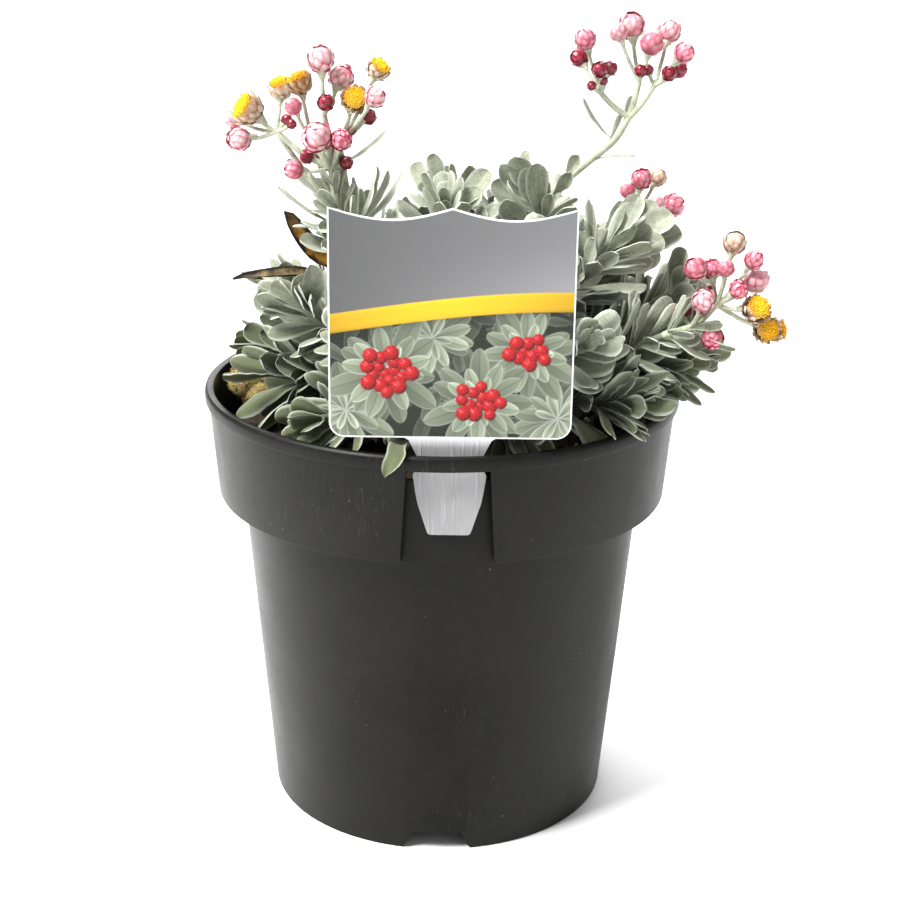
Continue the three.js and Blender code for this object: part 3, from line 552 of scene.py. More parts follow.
class Finish:
    """A material and short ways to add its nodes."""

    def __init__(self, name):
        self.material = bpy.data.materials.new(name)
        self.material.use_nodes = True
        self.tree = self.material.node_tree
        self.shader = self.tree.nodes["Principled BSDF"]
        self.here = self.node("ShaderNodeTexCoord").outputs["Object"]

    def node(self, kind, inputs=None, **settings):
        made = self.tree.nodes.new(kind)
        for key, value in settings.items():
            setattr(made, key, value)
        for key, value in (inputs or {}).items():
            self.feed(made.inputs[key], value)
        return made

    def feed(self, socket, value):
        if isinstance(value, bpy.types.NodeSocket):
            self.tree.links.new(value, socket)
        elif socket.type == "RGBA" and len(value) == 3:
            socket.default_value = (*value, 1)
        else:
            socket.default_value = value

    def set(self, **inputs):
        names = {"color": "Base Color", "roughness": "Roughness", "normal": "Normal"}
        names |= {"specular": "Specular IOR Level", "coat": "Coat Weight", "coat_roughness": "Coat Roughness"}
        names |= {"sheen": "Sheen Weight", "sheen_roughness": "Sheen Roughness"}
        for key, value in inputs.items():
            self.feed(self.shader.inputs[names[key]], value)
        return self.material

    def noise(self, scale, detail=4.0, rough=0.55, stretch=None):
        at = self.here
        if stretch:
            at = self.node("ShaderNodeMapping", {"Vector": at, "Scale": stretch}).outputs[0]
        inputs = {"Vector": at, "Scale": scale, "Detail": detail, "Roughness": rough}
        return self.node("ShaderNodeTexNoise", inputs).outputs["Fac"]

    def cells(self, scale):
        return self.node("ShaderNodeTexVoronoi", {"Vector": self.here, "Scale": scale}).outputs["Distance"]

    def ramp(self, value, low, high, a=0.0, b=1.0):
        made = self.node(
            "ShaderNodeMapRange",
            {"Value": value, "From Min": low, "From Max": high, "To Min": a, "To Max": b},
            clamp=True,
        )
        return made.outputs["Result"]

    def mix(self, share, a, b, blend="MIX"):
        made = self.tree.nodes.new("ShaderNodeMix")
        made.data_type, made.blend_type = "RGBA", blend
        self.feed(made.inputs[0], share)
        self.feed(made.inputs[6], a)
        self.feed(made.inputs[7], b)
        return made.outputs[2]

    def math(self, operation, a, b=0.0):
        return self.node("ShaderNodeMath", {0: a, 1: b}, operation=operation).outputs[0]

    def veil(self, base, cover, share, colour):
        """Lays a share of a colour over the base where the cover is."""
        return self.mix(self.math("MULTIPLY", cover, share), base, colour)

    def height(self):
        return self.node("ShaderNodeSeparateXYZ", {"Vector": self.here}).outputs[2]

    def bump(self, height, depth, strength=1.0, after=None):
        inputs = {"Height": height, "Distance": depth, "Strength": strength}
        if after is not None:
            inputs["Normal"] = after
        return self.node("ShaderNodeBump", inputs).outputs[0]

    def tone(self):
        """The point colours of a Skin: the colour, its three channels and its alpha."""
        layer = self.node("ShaderNodeAttribute", attribute_name="tone")
        parts = self.node("ShaderNodeSeparateColor", {"Color": layer.outputs["Color"]})
        return layer.outputs["Color"], *parts.outputs[:3], layer.outputs["Alpha"]


def moulded_plastic(colour):
    """Matt black plastic: fine orange-peel, pale smudges, specks of dust and hairline scratches."""
    f = Finish("moulded_plastic")
    cloud = f.ramp(f.noise(26, 5, 0.62), 0.45, 0.62)
    smear = f.ramp(f.noise(20, 6, 0.7, stretch=(1, 1, 0.25)), 0.5, 0.78)
    dust = f.ramp(f.noise(2600, 2, 0.5), 0.69, 0.74)
    speck = f.math("MULTIPLY", f.ramp(f.cells(210), 0.09, 0.05), f.ramp(f.noise(45, 2), 0.52, 0.58))
    strand = f.noise(55, 2, 0.5, stretch=(9, 9, 0.6))
    hair = f.math("MULTIPLY", f.ramp(strand, 0.495, 0.5), f.ramp(strand, 0.505, 0.5))
    hair = f.math("MULTIPLY", hair, f.ramp(f.noise(14, 2), 0.55, 0.66))
    pale = [c * 1.9 + 0.002 for c in colour]
    base = f.veil(pale, cloud, 0.7, colour)
    base = f.veil(base, smear, 0.5, [c * 2.0 for c in pale])
    base = f.veil(base, speck, 0.5, (0.14, 0.13, 0.11))
    base = f.veil(base, dust, 0.16, (0.12, 0.115, 0.1))
    base = f.veil(base, hair, 0.3, (0.12, 0.12, 0.12))
    rough = f.math("ADD", f.ramp(smear, 0, 1, 0.34, 0.46), f.ramp(cloud, 0, 1, 0.06, 0.0))
    grain = f.bump(f.noise(1400, 3, 0.6), 0.00008)
    wave = f.bump(f.noise(24, 2, 0.4), 0.0006, 0.5, grain)
    return f.set(color=base, roughness=rough, normal=wave, specular=0.13)


def woolly_leaf(top, under, name="woolly_leaf"):
    """Felted leaf with painted light and shade. The tone channels are: midrib to margin, foot to tip, a level
    of painted light and shade, and upper or lower side.
    """
    f = Finish(name)
    _, margin, along, shade, side = f.tone()
    patch = f.noise(150, 4, 0.6)
    dark, pale = [c * 0.5 for c in top], [min(1, c * 1.55 + 0.03) for c in top]
    olive = (top[0] * 0.62, top[1] * 0.66, top[2] * 0.42)
    # Painted light and shade: a leaf's shade value mixes it from olive, partly older leaves' own colour, up
    # to a paler lit colour.
    base = f.mix(shade, f.mix(0.65, top, olive), f.mix(0.45, top, pale))
    base = f.mix(f.ramp(patch, 0.62, 0.36, 0, 0.7), base, dark)
    # Painted shade towards each leaf's foot, where the leaves crowd.
    base = f.mix(f.ramp(along, 0.5, 0.0, 0, 0.75), base, dark)
    # Deeper painted shade on the darkest leaves, partly their own deep olive.
    deep = (top[0] * 0.27, top[1] * 0.3, top[2] * 0.19)
    base = f.mix(f.ramp(shade, 0.35, 0.0, 0, 0.75), base, deep)
    # The underside is darker on leaves with a low shade value: painted shade.
    under_tone = f.mix(shade, [c * 0.5 for c in under], under)
    base = f.mix(side, base, f.mix(f.ramp(patch, 0.62, 0.36, 0, 0.35), under_tone, dark))
    base = f.mix(f.ramp(margin, 0.12, 0.0, 0, 0.35), base, pale)
    wool = f.ramp(f.noise(1500, 3, 0.75), 0.5, 0.64)
    pits = f.ramp(f.noise(1400, 3, 0.75), 0.5, 0.36)
    base = f.veil(base, pits, 0.55, dark)
    base = f.veil(base, wool, 0.34, (0.6, 0.62, 0.55))
    # Painted shade on the lowest leaves round the rim, partly the darker colour of older leaves.
    height = f.height()
    base = f.mix(f.ramp(height, 0.2, 0.166, 0, 0.88), base, deep)
    # Pale woolly margins, which are real, made stronger on leaves painted in light and weaker on those in
    # painted shade.
    rim = f.math("MULTIPLY", f.ramp(margin, 0.7, 1.0), f.ramp(shade, 0, 1, 0.4, 0.8))
    base = f.mix(rim, base, (0.7, 0.73, 0.64))
    felt = f.bump(f.noise(2400, 3, 0.7), 0.00018)
    veins = f.bump(f.noise(260, 3, 0.5), 0.0004, 0.7, felt)
    return f.set(color=base, roughness=0.9, normal=veins, sheen=0.3, sheen_roughness=0.4, specular=0.15)


def felted_stalk(colour):
    """Pale green stalk under short white wool."""
    f = Finish("felted_stalk")
    base = f.mix(f.ramp(f.noise(220, 4), 0.35, 0.7), [c * 0.55 for c in colour], colour)
    wool = f.ramp(f.noise(1800, 3, 0.7), 0.5, 0.62)
    base = f.veil(base, wool, 0.4, (0.72, 0.73, 0.64))
    felt = f.bump(f.noise(2600, 3, 0.7), 0.00015)
    return f.set(color=base, roughness=0.85, normal=felt, sheen=0.4, sheen_roughness=0.5, specular=0.2)


def papery_scale():
    """Pearly scale: the tint comes with the mesh, streaked along each scale."""
    f = Finish("papery_scale")
    tint = f.tone()[0]
    streak = f.ramp(f.noise(900, 3, 0.6), 0.35, 0.7)
    base = f.mix(f.math("MULTIPLY", streak, 0.4), tint, f.mix(1.0, tint, (0.85, 0.6, 0.62), "MULTIPLY"))
    ripple = f.bump(f.noise(1500, 2, 0.6), 0.0001)
    return f.set(color=base, roughness=0.32, normal=ripple, specular=0.5, coat=0.2, coat_roughness=0.3)


def pollen_disc():
    f = Finish("pollen_disc")
    base = f.mix(f.ramp(f.noise(1400, 2), 0.4, 0.7), f.tone()[0], (0.95, 0.62, 0.05))
    return f.set(color=base, roughness=0.75, specular=0.3)


def damp_compost(colour):
    f = Finish("damp_compost")
    base = f.mix(f.ramp(f.noise(190, 6, 0.7), 0.35, 0.7), [c * 0.35 for c in colour], colour)
    fleck = f.ramp(f.noise(700, 3, 0.7), 0.6, 0.72)
    base = f.veil(base, fleck, 0.6, (0.14, 0.085, 0.045))
    crumb = f.bump(f.noise(600, 5, 0.7), 0.0008)
    return f.set(color=base, roughness=0.95, normal=crumb, specular=0.25)


def bark(colour):
    f = Finish("bark")
    streak = f.noise(70, 5, 0.65, stretch=(4, 4, 0.7))
    base = f.mix(f.ramp(streak, 0.35, 0.7), [c * 0.4 for c in colour], [c * 1.3 for c in colour])
    return f.set(color=base, roughness=0.9, normal=f.bump(streak, 0.0012), specular=0.2)


def mossy_stone():
    f = Finish("mossy_stone")
    moss = f.ramp(f.noise(130, 5, 0.65), 0.42, 0.6)
    base = f.mix(moss, (0.2, 0.13, 0.06), (0.36, 0.31, 0.08))
    base = f.mix(f.ramp(f.noise(500, 3, 0.7), 0.5, 0.7, 0, 0.7), base, (0.55, 0.5, 0.2))
    return f.set(color=base, roughness=0.95, normal=f.bump(f.noise(700, 4, 0.7), 0.0008), specular=0.2)


def withered_blade():
    """Dry leaf: orange or olive brown along the middle, by its shade, and blackened at its margin."""
    f = Finish("withered_blade")
    _, margin, along, shade, _ = f.tone()
    patch = f.ramp(f.noise(210, 5, 0.65), 0.38, 0.66)
    orange = f.mix(patch, (0.09, 0.045, 0.01), (0.5, 0.23, 0.02))
    olive = f.mix(patch, (0.03, 0.028, 0.016), (0.17, 0.15, 0.09))
    base = f.mix(shade, olive, orange)
    edge = f.math("ADD", margin, f.ramp(f.noise(240, 4), 0.3, 0.7, -0.3, 0.3))
    base = f.mix(f.ramp(edge, 0.42, 0.72), base, (0.012, 0.01, 0.007))
    base = f.mix(f.ramp(along, 0.72, 0.95, 0, 0.9), base, (0.012, 0.01, 0.008))
    return f.set(color=base, roughness=0.8, normal=f.bump(f.noise(500, 4, 0.7), 0.0004), specular=0.25)


def label_sheet(colour):
    """The blank sheet: pale glossy card above the rim, frosted and creased below it."""
    f = Finish("label_sheet")
    height = f.height()
    down = f.ramp(height, 0.1615, 0.158)
    crease = f.ramp(f.noise(120, 3, 0.6, stretch=(9, 1, 0.35)), 0.5, 0.75)
    frosted = f.mix(crease, (0.29, 0.29, 0.295), (0.4, 0.4, 0.41))
    base = f.mix(down, f.mix(f.ramp(f.noise(300, 3), 0.4, 0.6), [c * 0.96 for c in colour], colour), frosted)
    ripple = f.bump(f.math("MULTIPLY", crease, down), 0.0003)
    rough = f.ramp(down, 0, 1, 0.25, 0.5)
    return f.set(color=base, roughness=rough, normal=ripple, specular=0.4, coat=0.2, coat_roughness=0.12)


def label_ink():
    """Printed colours: they come with the mesh, under a fine screen."""
    f = Finish("label_ink")
    screen = f.ramp(f.noise(2600, 3, 0.6), 0.35, 0.7)
    base = f.mix(f.math("MULTIPLY", screen, 0.04), f.tone()[0], (0.8, 0.8, 0.78))
    return f.set(color=base, roughness=0.35, specular=0.12)


def perlite():
    f = Finish("perlite")
    base = f.mix(f.ramp(f.noise(900, 3), 0.4, 0.7), (0.55, 0.53, 0.48), (0.85, 0.84, 0.8))
    return f.set(color=base, roughness=0.9, normal=f.bump(f.noise(1500, 3), 0.0003), specular=0.3)


def pale_floor(colour):
    f = Finish("pale_floor")
    base = f.mix(f.ramp(f.noise(3, 3), 0.3, 0.7), colour, [min(1, c * 1.02) for c in colour])
    return f.set(color=base, roughness=0.6, specular=0.2)


# Where the plant's pieces go


def dome_reach(axis, shoulder):
    dome = (1 + shoulder * 4 * axis[2] ** 2 * (1 - axis[2] ** 2)) / np.linalg.norm(axis / DOME)
    behind_card = (LABEL_BACK_Y + LABEL_CLEARANCE) / min(axis[1], -0.01)
    beside = abs(CROWN[0] + axis[0] * behind_card - LABEL_X) > CARD_WIDTH / 2 + 6
    return dome if beside else min(dome, behind_card)


def plan_shoots():
    hosts = {spray["shoot"]: name for name, spray in SPRAYS.items()}
    shoots = []
    for ring, elevation_0, azimuth_0, count in RINGS:
        for i in range(count):
            number, name = len(shoots), f"shoot_{ring}_{i + 1}"
            azimuth = azimuth_0 + i * 360 / count + spread(number, 0, 1, RING_JITTER)
            elevation = elevation_0 + spread(number, 0, 2, RING_JITTER)
            if ring == "skirt":
                elevation += SKIRT_LIFT * max(0, math.cos(math.radians(azimuth)))
            spray = hosts.get(name)
            if spray:
                azimuth, elevation = SPRAYS[spray]["heading"]
            axis = on_sphere(azimuth, elevation)
            tip = dome_reach(axis, 0 if spray else DOME_SHOULDER) - 17 + spread(number, 0, 7, 2.5)
            shoot = {"id": number, "name": name, "ring": ring, "spray": spray, "axis": axis, "tip": tip}
            shoots.append({**shoot, "top": tip + (6 if spray else 1.5)})
    return shoots


SHOOTS = plan_shoots()
AXES = np.array([shoot["axis"] for shoot in SHOOTS])


def on_axis(shoot, reach):
    return CROWN + shoot["axis"] * reach


def stalk_path(spray_name):
    shoot = next(each for each in SHOOTS if each["spray"] == spray_name)
    path = [on_axis(shoot, shoot["top"] + GAP), on_axis(shoot, shoot["top"] + 3)]
    return path + [np.array(p, float) for p in SPRAYS[spray_name]["stalk"]]


def leaf_point(leaf, share):
    turn = leaf["start"] + (leaf["end"] - leaf["start"]) * share * 0.5
    reach = leaf["length"] * share
    point = leaf["root"] + leaf["axis"] * math.cos(turn) * reach + leaf["out"] * math.sin(turn) * reach
    return point - np.array([0, 0, leaf["sag"] * share * share])


def leaf_frame(leaf, share):
    middle = leaf_point(leaf, share)
    along = unit(leaf_point(leaf, share + 0.02) - leaf_point(leaf, share - 0.02))
    facing = leaf.get("facing")
    across = unit(np.cross(leaf["axis"], leaf["out"]) if facing is None else np.cross(along, facing))
    face = unit(np.cross(across, along))
    turn = leaf["twist"] * share
    return middle, turned_about(across, along, turn), turned_about(face, along, turn)


def reaching_leaf(axis, root, tip, width):
    """A leaf bowed outwards on its way to a given tip. Nothing tests that it is clear of other leaves."""
    run = np.array(tip, float) - root
    opening = math.acos(np.clip(unit(run) @ axis, -1, 1))
    return {
        "axis": axis,
        "out": unit(run - axis * (run @ axis)),
        "root": root,
        "length": np.linalg.norm(run),
        "width": width,
        "twist": 0,
        "sag": 0,
        "start": opening + STALK_LEAF_BOW,
        "end": opening - STALK_LEAF_BOW,
    }


def stalk_leaf(spray_name, point, tip, width):
    path = stalk_path(spray_name)
    return reaching_leaf(unit(path[point] - path[point - 1]), path[point], tip, width)


def distance_to_run(points, start, end):
    along = end - start
    share = np.clip(((points - start) @ along) / max(along @ along, 1e-9), 0, 1)
    return np.linalg.norm(points - (start + share[..., None] * along), axis=-1)


def place_heads(spray_name):
    """A spray's heads, each at the depth that best clears it and its pedicel of those before it."""
    spray, placed_heads = SPRAYS[spray_name], []
    for fork, x, z, radius, kind, azimuth, elevation, tint in spray["heads"]:
        start = np.array(spray["forks"][fork], float)

        def room(at):
            least = 1.0
            for other in placed_heads:
                least = min(
                    least,
                    np.linalg.norm(at - other["at"]) - radius - other["radius"],
                    distance_to_run(other["at"], start, at) - other["radius"] - PEDICEL_RADIUS,
                    distance_to_run(at, other["start"], other["at"]) - radius - PEDICEL_RADIUS,
                )
            return least

        best = None
        for depth in HEAD_DEPTHS:
            option = np.array([x, spray["depth"] + depth, z], float)
            if best is None or room(option) > room(best) + 0.01:
                best = option
        head = {"start": start, "at": best, "radius": radius, "kind": kind, "tint": tint}
        placed_heads.append({**head, "facing": on_sphere(azimuth, elevation)})
    return placed_heads


HEADS = {name: place_heads(name) for name in SPRAYS}


def bring_forward():
    """Moves heads that are seen in front of the stems. Leaves don't keep clear of their new place."""
    for name, number, depth in FRONT_HEADS:
        HEADS[name][number]["at"][1] = depth


def side_runs(spray_name):
    path = stalk_path(spray_name)
    runs = []
    for fork in SPRAYS[spray_name]["forks"]:
        fork = np.array(fork, float)
        near = min(path, key=lambda p: np.linalg.norm(p - fork))
        if np.linalg.norm(near - fork) > 1:
            runs.append((near, fork, STALK_RADIUS))
    return runs + [(head["start"], head["at"], PEDICEL_RADIUS) for head in HEADS[spray_name]]


def withered_path(leaf):
    host = next(shoot for shoot in SHOOTS if shoot["name"] == WITHERED_SHOOT)
    reach, bend, tip = leaf
    return [on_axis(host, reach), np.array(bend, float), np.array(tip, float)]


def plan_obstacles():
    runs = []
    for name in SPRAYS:
        path = stalk_path(name)
        runs += [(a, b, STALK_RADIUS + 1.6) for a, b in zip(path, path[1:])]
        runs += [(a, b, radius + 1.4) for a, b, radius in side_runs(name)]
        for head in HEADS[name]:
            runs.append((head["at"], head["at"] + np.array([0, 0, 0.01]), head["radius"] + 1.6))
        for row in SPRAYS[name]["leaves"]:
            leaf = stalk_leaf(name, *row)
            foot, middle, tip = (leaf_point(leaf, share) for share in (0.1, 0.5, 1))
            runs += [(foot, middle, leaf["width"] / 2 + 1.2), (middle, tip, leaf["width"] / 2 + 1.2)]
    for leaf in WITHERED:
        root, bend, tip = withered_path(leaf)
        runs.append((lerp(root, bend, 0.15), bend, WITHERED_WIDTH / 2 + 0.8))
        runs.append((bend, tip, WITHERED_WIDTH / 2 + 0.8))
    return runs


OBSTACLES = plan_obstacles()
bring_forward()


def all_clear(points, slack):
    """Whether points are clear of pot, compost, stone, card, sprays and withered leaves."""
    radius = np.hypot(points[:, 0], points[:, 1])
    z = points[:, 2]
    outside, inside = RIM_RADIUS + 1.5, RIM_RADIUS - BEAD_WIDTH - 3
    over_rim = (radius < outside) & (radius > inside) & (z < POT_HEIGHT + 1.3)
    in_soil = (radius <= inside) & (z < SOIL_Z + 3.4)
    by_band = (radius >= outside) & (radius < RIM_RADIUS + 3) & (z < POT_HEIGHT - 12)
    in_card = (points[:, 1] < LABEL_BACK_Y + 1.2) & (np.abs(points[:, 0] - LABEL_X) < CARD_WIDTH / 2 + 2)
    if (over_rim | in_soil | by_band | in_card).any():
        return False
    if (distance(points, STONE_CENTRE) <= STONE_SIZE[1] / 2 + 1.5).any():
        return False
    return not any((distance_to_run(points, a, b) < reach - slack).any() for a, b, reach in OBSTACLES)


def in_cell(shoot, points, margin):
    """Whether all points lie in the cone of directions nearer to the shoot's axis than to any other's."""
    across = np.delete(shoot["axis"] - AXES, shoot["id"], axis=0)
    return ((points - CROWN) @ across.T >= margin * np.linalg.norm(across, axis=1)).all()


def plan_leaf(shoot, k):
    rise = k / (LEAVES_PER_SHOOT - 1)
    low = 1 if shoot["ring"] == "skirt" else 0
    turn = (2 * k + 0.5) / STEM_SIDES * 2 * math.pi
    out = outwards(cross_frame(shoot["axis"]), turn)
    opening = lerp(68, 44 if shoot["spray"] else 22, rise) + spread(shoot["id"], k, 3, 6)
    start = shoot["tip"] - lerp(30, 0, rise**0.9)
    falls = low * (1 - rise) * (1 if out[2] < 0.3 else 0.3)
    return {
        "axis": shoot["axis"],
        "out": out,
        "root": on_axis(shoot, start) + out * STEM_TIP_RADIUS * 0.4,
        "length": lerp(29 + 5 * low, 18, rise) * (1 + spread(shoot["id"], k, 4, 0.1)),
        "width": lerp(10.5, 7.4, rise) * (1 + spread(shoot["id"], k, 5, 0.1)),
        "twist": spread(shoot["id"], k, 6, 0.35),
        "sag": 7 * falls,
        "opening": math.radians(opening),
        "curl": math.radians(lerp(22, -12, rise)),
    }


def fill_leaf(shoot, k, count):
    """One of the smaller leaves that fill a shoot between its main ones, from low on the stem to its tip."""
    n = 40 + k
    rise = (k + 0.5) / count
    turn = k * GOLDEN_ANGLE + 6.3 * draw(shoot["id"], n, 1)
    out = outwards(cross_frame(shoot["axis"]), turn)
    low = 1 if shoot["ring"] == "skirt" else 0
    length = lerp(30 + 7 * low, 13, rise**1.3) * (1 + spread(shoot["id"], n, 2, 0.16))
    opening = lerp(76, 40 if shoot["spray"] else 10, rise) + spread(shoot["id"], n, 5, 10)
    return {
        "axis": shoot["axis"],
        "out": out,
        "root": on_axis(shoot, shoot["tip"] + 1.5 - lerp(46, 0, rise**0.8)) + out * STEM_TIP_RADIUS * 0.4,
        "length": length,
        "width": lerp(9.6, 5.4, rise) * (1 + spread(shoot["id"], n, 3, 0.15)),
        "twist": spread(shoot["id"], n, 4, 0.6),
        "sag": 6 * low * (1 - rise),
        "opening": math.radians(opening),
        "curl": math.radians(lerp(25, -6, rise) + spread(shoot["id"], n, 6, 12)),
    }


def wild_leaf(spray_name, k):
    """One of the narrow leaves that clothe a spray's stalk below its forks."""
    path, count = stalk_path(spray_name), SPRAYS[spray_name]["wild_leaves"]
    number = WILD_LEAF_DRAWS + list(SPRAYS).index(spray_name)
    rise = (k + 0.5) / count
    along = rise * (len(path) - 1)
    i = min(int(along), len(path) - 2)
    root, axis = lerp(path[i], path[i + 1], along - i), unit(path[i + 1] - path[i])
    turn = k * GOLDEN_ANGLE + spread(number, k, 1, 0.4)
    opening = math.radians(lerp(52, 26, rise) + spread(number, k, 2, 9))
    return {
        "axis": axis,
        "out": outwards(cross_frame(axis), turn),
        "root": root,
        "length": lerp(20, 11, rise) * (1 + spread(number, k, 3, 0.2)),
        "width": lerp(5.2, 3, rise) * (1 + spread(number, k, 4, 0.2)),
        "twist": spread(number, k, 5, 0.5),
        "sag": 0,
        "start": opening + spread(number, k, 6, 0.3),
        "end": opening - spread(number, k, 6, 0.3),
    }


def hides_stone(leaf):
    """Whether a leaf stands between the mossy stone and the camera."""
    points = np.array([leaf_point(leaf, share) for share in (0.3, 0.5, 0.7, 0.85, 1)])
    sight = lerp(STONE_SEEN, CAMERA_PLACE, 0.12)
    return (distance_to_run(points, STONE_SEEN, sight) < STONE_SIZE[1] / 2).any()


# Points along a leaf that the fit test looks at.
FIT_SHARES = (0.1, 0.2, 0.32, 0.45, 0.57, 0.69, 0.8, 0.87, 0.94, 1)


def fit_leaf(shoot, leaf, margin=CELL_MARGIN, slack=0.0):
    """Closes a leaf towards its shoot until it is clear and in the shoot's own cell. None if it never is."""
    ease = 1.0
    while ease > 0.05:
        leaf["start"] = leaf["opening"] * ease * 0.8
        leaf["end"] = (leaf["opening"] + leaf["curl"]) * ease + leaf["opening"] * ease * 0.2
        points = []
        for share in FIT_SHARES:
            middle, across, _ = leaf_frame(leaf, share)
            half = 0 if share == 1 else leaf["width"] / 2 * (0.8 if share < 0.6 else 1)
            points += [middle - across * half, middle, middle + across * half]
        points = np.array(points)
        if in_cell(shoot, points, margin) and all_clear(points, slack):
            return leaf
        ease -= 0.05
    return None


# Leaves, stems and heads as meshes

# A leaf's cross-sections: shares of its length, their widths, and points across from margin to margin.
BLADE_STATIONS = (0, 0.06, 0.16, 0.3, 0.45, 0.6, 0.72, 0.82, 0.9, 0.955, 0.985, 1)
BLADE_WIDTHS = (0.14, 0.16, 0.25, 0.43, 0.66, 0.88, 0.98, 1.0, 0.89, 0.68, 0.42, 0.1)
BLADE_ACROSS = (-1, -0.9, -0.62, -0.3, 0, 0.3, 0.62, 0.9, 1)


def add_blade(skin, leaf, chance, shade, thickness=0.6):
    """A leaf with a groove along its midrib, raised and slightly waved margins, and a felted underside."""
    rings, tones = [], []
    phase, rate, cup = 6.3 * chance, 1.4 + 2 * chance, lerp(0.14, 0.42, (chance * 7) % 1)
    pointed = 0.45 * ((chance * 13) % 1) ** 2
    wave = 0.05 * ((chance * 5) % 1)
    for share, wide in zip(BLADE_STATIONS, BLADE_WIDTHS):
        middle, across, face = leaf_frame(leaf, share)
        half = leaf["width"] / 2 * wide * (1 - pointed * max(0, share - 0.6) / 0.4)
        top, bottom = [], []
        for a in BLADE_ACROSS:
            lift = cup * half * a * a - 0.14 * half * math.exp(-((a * 4.5) ** 2))
            side_phase = phase + (1.7 if a > 0 else 0)
            lift += wave * leaf["width"] * abs(a) ** 1.5 * math.sin(6.3 * rate * share + side_phase)
            point = middle + across * (half * a) + face * lift
            # The shade value is the leaf finish's level of painted light and shade.
            tone = (abs(a), share, shade)
            top.append((point, (*tone, 0.0)))
            if abs(a) < 0.99:
                deep = thickness * (1 - 0.55 * a * a) * (0.35 + 0.65 * min(1, wide * 1.5))
                bottom.append((point - face * deep, (*tone, 1.0)))
        add_section(rings, tones, top, bottom)
    skin.loft(rings, np.array(tones))


def add_section(rings, tones, top, bottom):
    """One cross-section of a leaf, from its upper side back along its lower side."""
    ring = top + bottom[::-1]
    rings.append(np.array([p for p, _ in ring]))
    tones += [t for _, t in ring]


def add_stem(skin, path, radii, sides=8, tone=(0.5, 0.5, 0.5, 0)):
    lean = unit(path[-1] - path[0])
    rings = []
    for i, point in enumerate(path):
        along = unit(path[min(i + 1, len(path) - 1)] - path[max(i - 1, 0)])
        rings.append(point + radii[i] * circle(cross_frame(along, lean), sides))
    skin.loft(rings, np.array(tone))


def smooth_path(points, steps=5, bow=0.0):
    """A rounded curve through points, where two points alone sag by a share of their distance."""
    points = [np.asarray(p, float) for p in points]
    if len(points) == 2:
        middle = (points[0] + points[1]) / 2 + np.array([0, 0, -bow * np.linalg.norm(points[1] - points[0])])
        points = [points[0], middle, points[1]]
    ends = [2 * points[0] - points[1], *points, 2 * points[-1] - points[-2]]
    path = []
    for i in range(1, len(ends) - 2):
        a, b, c, d = ends[i - 1 : i + 3]
        square, cube = 2 * a - 5 * b + 4 * c - d, 3 * b - a - 3 * c + d
        for t in np.arange(steps) / steps:
            path.append(0.5 * (2 * b + (c - a) * t + square * t * t + cube * t**3))
    return [*path, points[-1]]


def add_ribbon(skin, path, face, width, roll, phase, shade):
    """A long leaf along a path, with its margins rolled up and a slight wave."""
    across = unit(np.cross(path[-1] - path[0], face))
    rings, tones = [], []
    for i, middle in enumerate(path):
        share = i / (len(path) - 1)
        half = width / 2 * np.interp(share, (0, 0.25, 0.55, 0.8, 0.93, 1), (0.2, 0.65, 1, 0.9, 0.6, 0.1))
        curl = roll * (0.5 + 0.5 * share)
        top, bottom = [], []
        for a in BLADE_ACROSS:
            lift = curl * half * abs(a) ** 1.6 + 0.35 * math.sin(9 * share + 3 * a + phase)
            point = middle + across * half * a * (1 - 0.25 * curl * abs(a)) + face * (lift - 0.5)
            top.append((point, (abs(a), share, shade, 0)))
            if abs(a) < 0.99:
                bottom.append((point - face * 0.4 * (1 - 0.5 * a * a), (abs(a), share, shade, 1)))
        add_section(rings, tones, top, bottom)
    skin.loft(rings, np.array(tones))


def add_ball(skin, centre, axis, radius, stretch, tone, sides=12, rows=8):
    ring, rings = circle(cross_frame(axis), sides), []
    for r in range(rows + 1):
        polar = lerp(0.12, math.pi - 0.12, r / rows)
        rings.append(centre - axis * math.cos(polar) * radius * stretch + math.sin(polar) * radius * ring)
    skin.loft(rings, np.array(tone))


def add_lump(skin, centre, size, rows, sides, swell, tone):
    """An uneven ball. The swell of each point comes from its direction, turn, row and side."""
    rings = []
    for r in range(1, rows):
        polar = r / rows * math.pi
        ring = []
        for s in range(sides):
            a = s / sides * 2 * math.pi
            d = np.array([math.sin(polar) * math.cos(a), math.sin(polar) * math.sin(a), -math.cos(polar)])
            ring.append(centre + d * size * swell(d, a, r, s))
        rings.append(np.array(ring))
    skin.loft(rings, np.array(tone))


# Cross-sections of a papery scale: shares of its length and their widths.
SCALE_SHARES = (0, 0.3, 0.6, 0.85, 1.0)
SCALE_WIDTHS = (0.7, 1.0, 0.96, 0.66, 0.14)


def add_scale(skin, head, up, tip_polar, arc, width, lift, flare, tint):
    """A papery scale: a thin spoon that hugs the head from its foot and stands a little proud at its tip."""
    centre, axis, radius = head["at"], head["facing"], head["radius"]
    side = np.cross(axis, up)
    foot, edge, middle_tone = tint
    rings, tones = [], []
    for share, wide in zip(SCALE_SHARES, SCALE_WIDTHS):
        here = tip_polar + arc * (1 - share)
        out = radius * (lerp(0.84, lift, share**1.3) + flare * share**2)
        normal = axis * math.cos(here) + up * math.sin(here)
        middle = centre + normal * out
        half = radius * width / 2 * wide * min(1, 0.35 + math.sin(min(here, math.pi / 2)))
        bend = half * half / radius * 0.5
        edges = [middle + side * half * sign - normal * bend for sign in (-1, 1)]
        ridge_height = 0.03 + 0.055 * radius * math.sin(math.pi * min(1, share * 1.08))
        rings.append(np.array([edges[0], middle + normal * ridge_height, edges[1], middle - normal * 0.13]))
        fade = min(1, share * 1.25)
        rim, ridge = ([lerp(a, b, fade) for a, b in zip(foot, tone)] for tone in (edge, middle_tone))
        tones += [(*rim, 1), (*ridge, 1), (*rim, 1), (*rim, 1)]
    skin.loft(rings, np.array(tones))


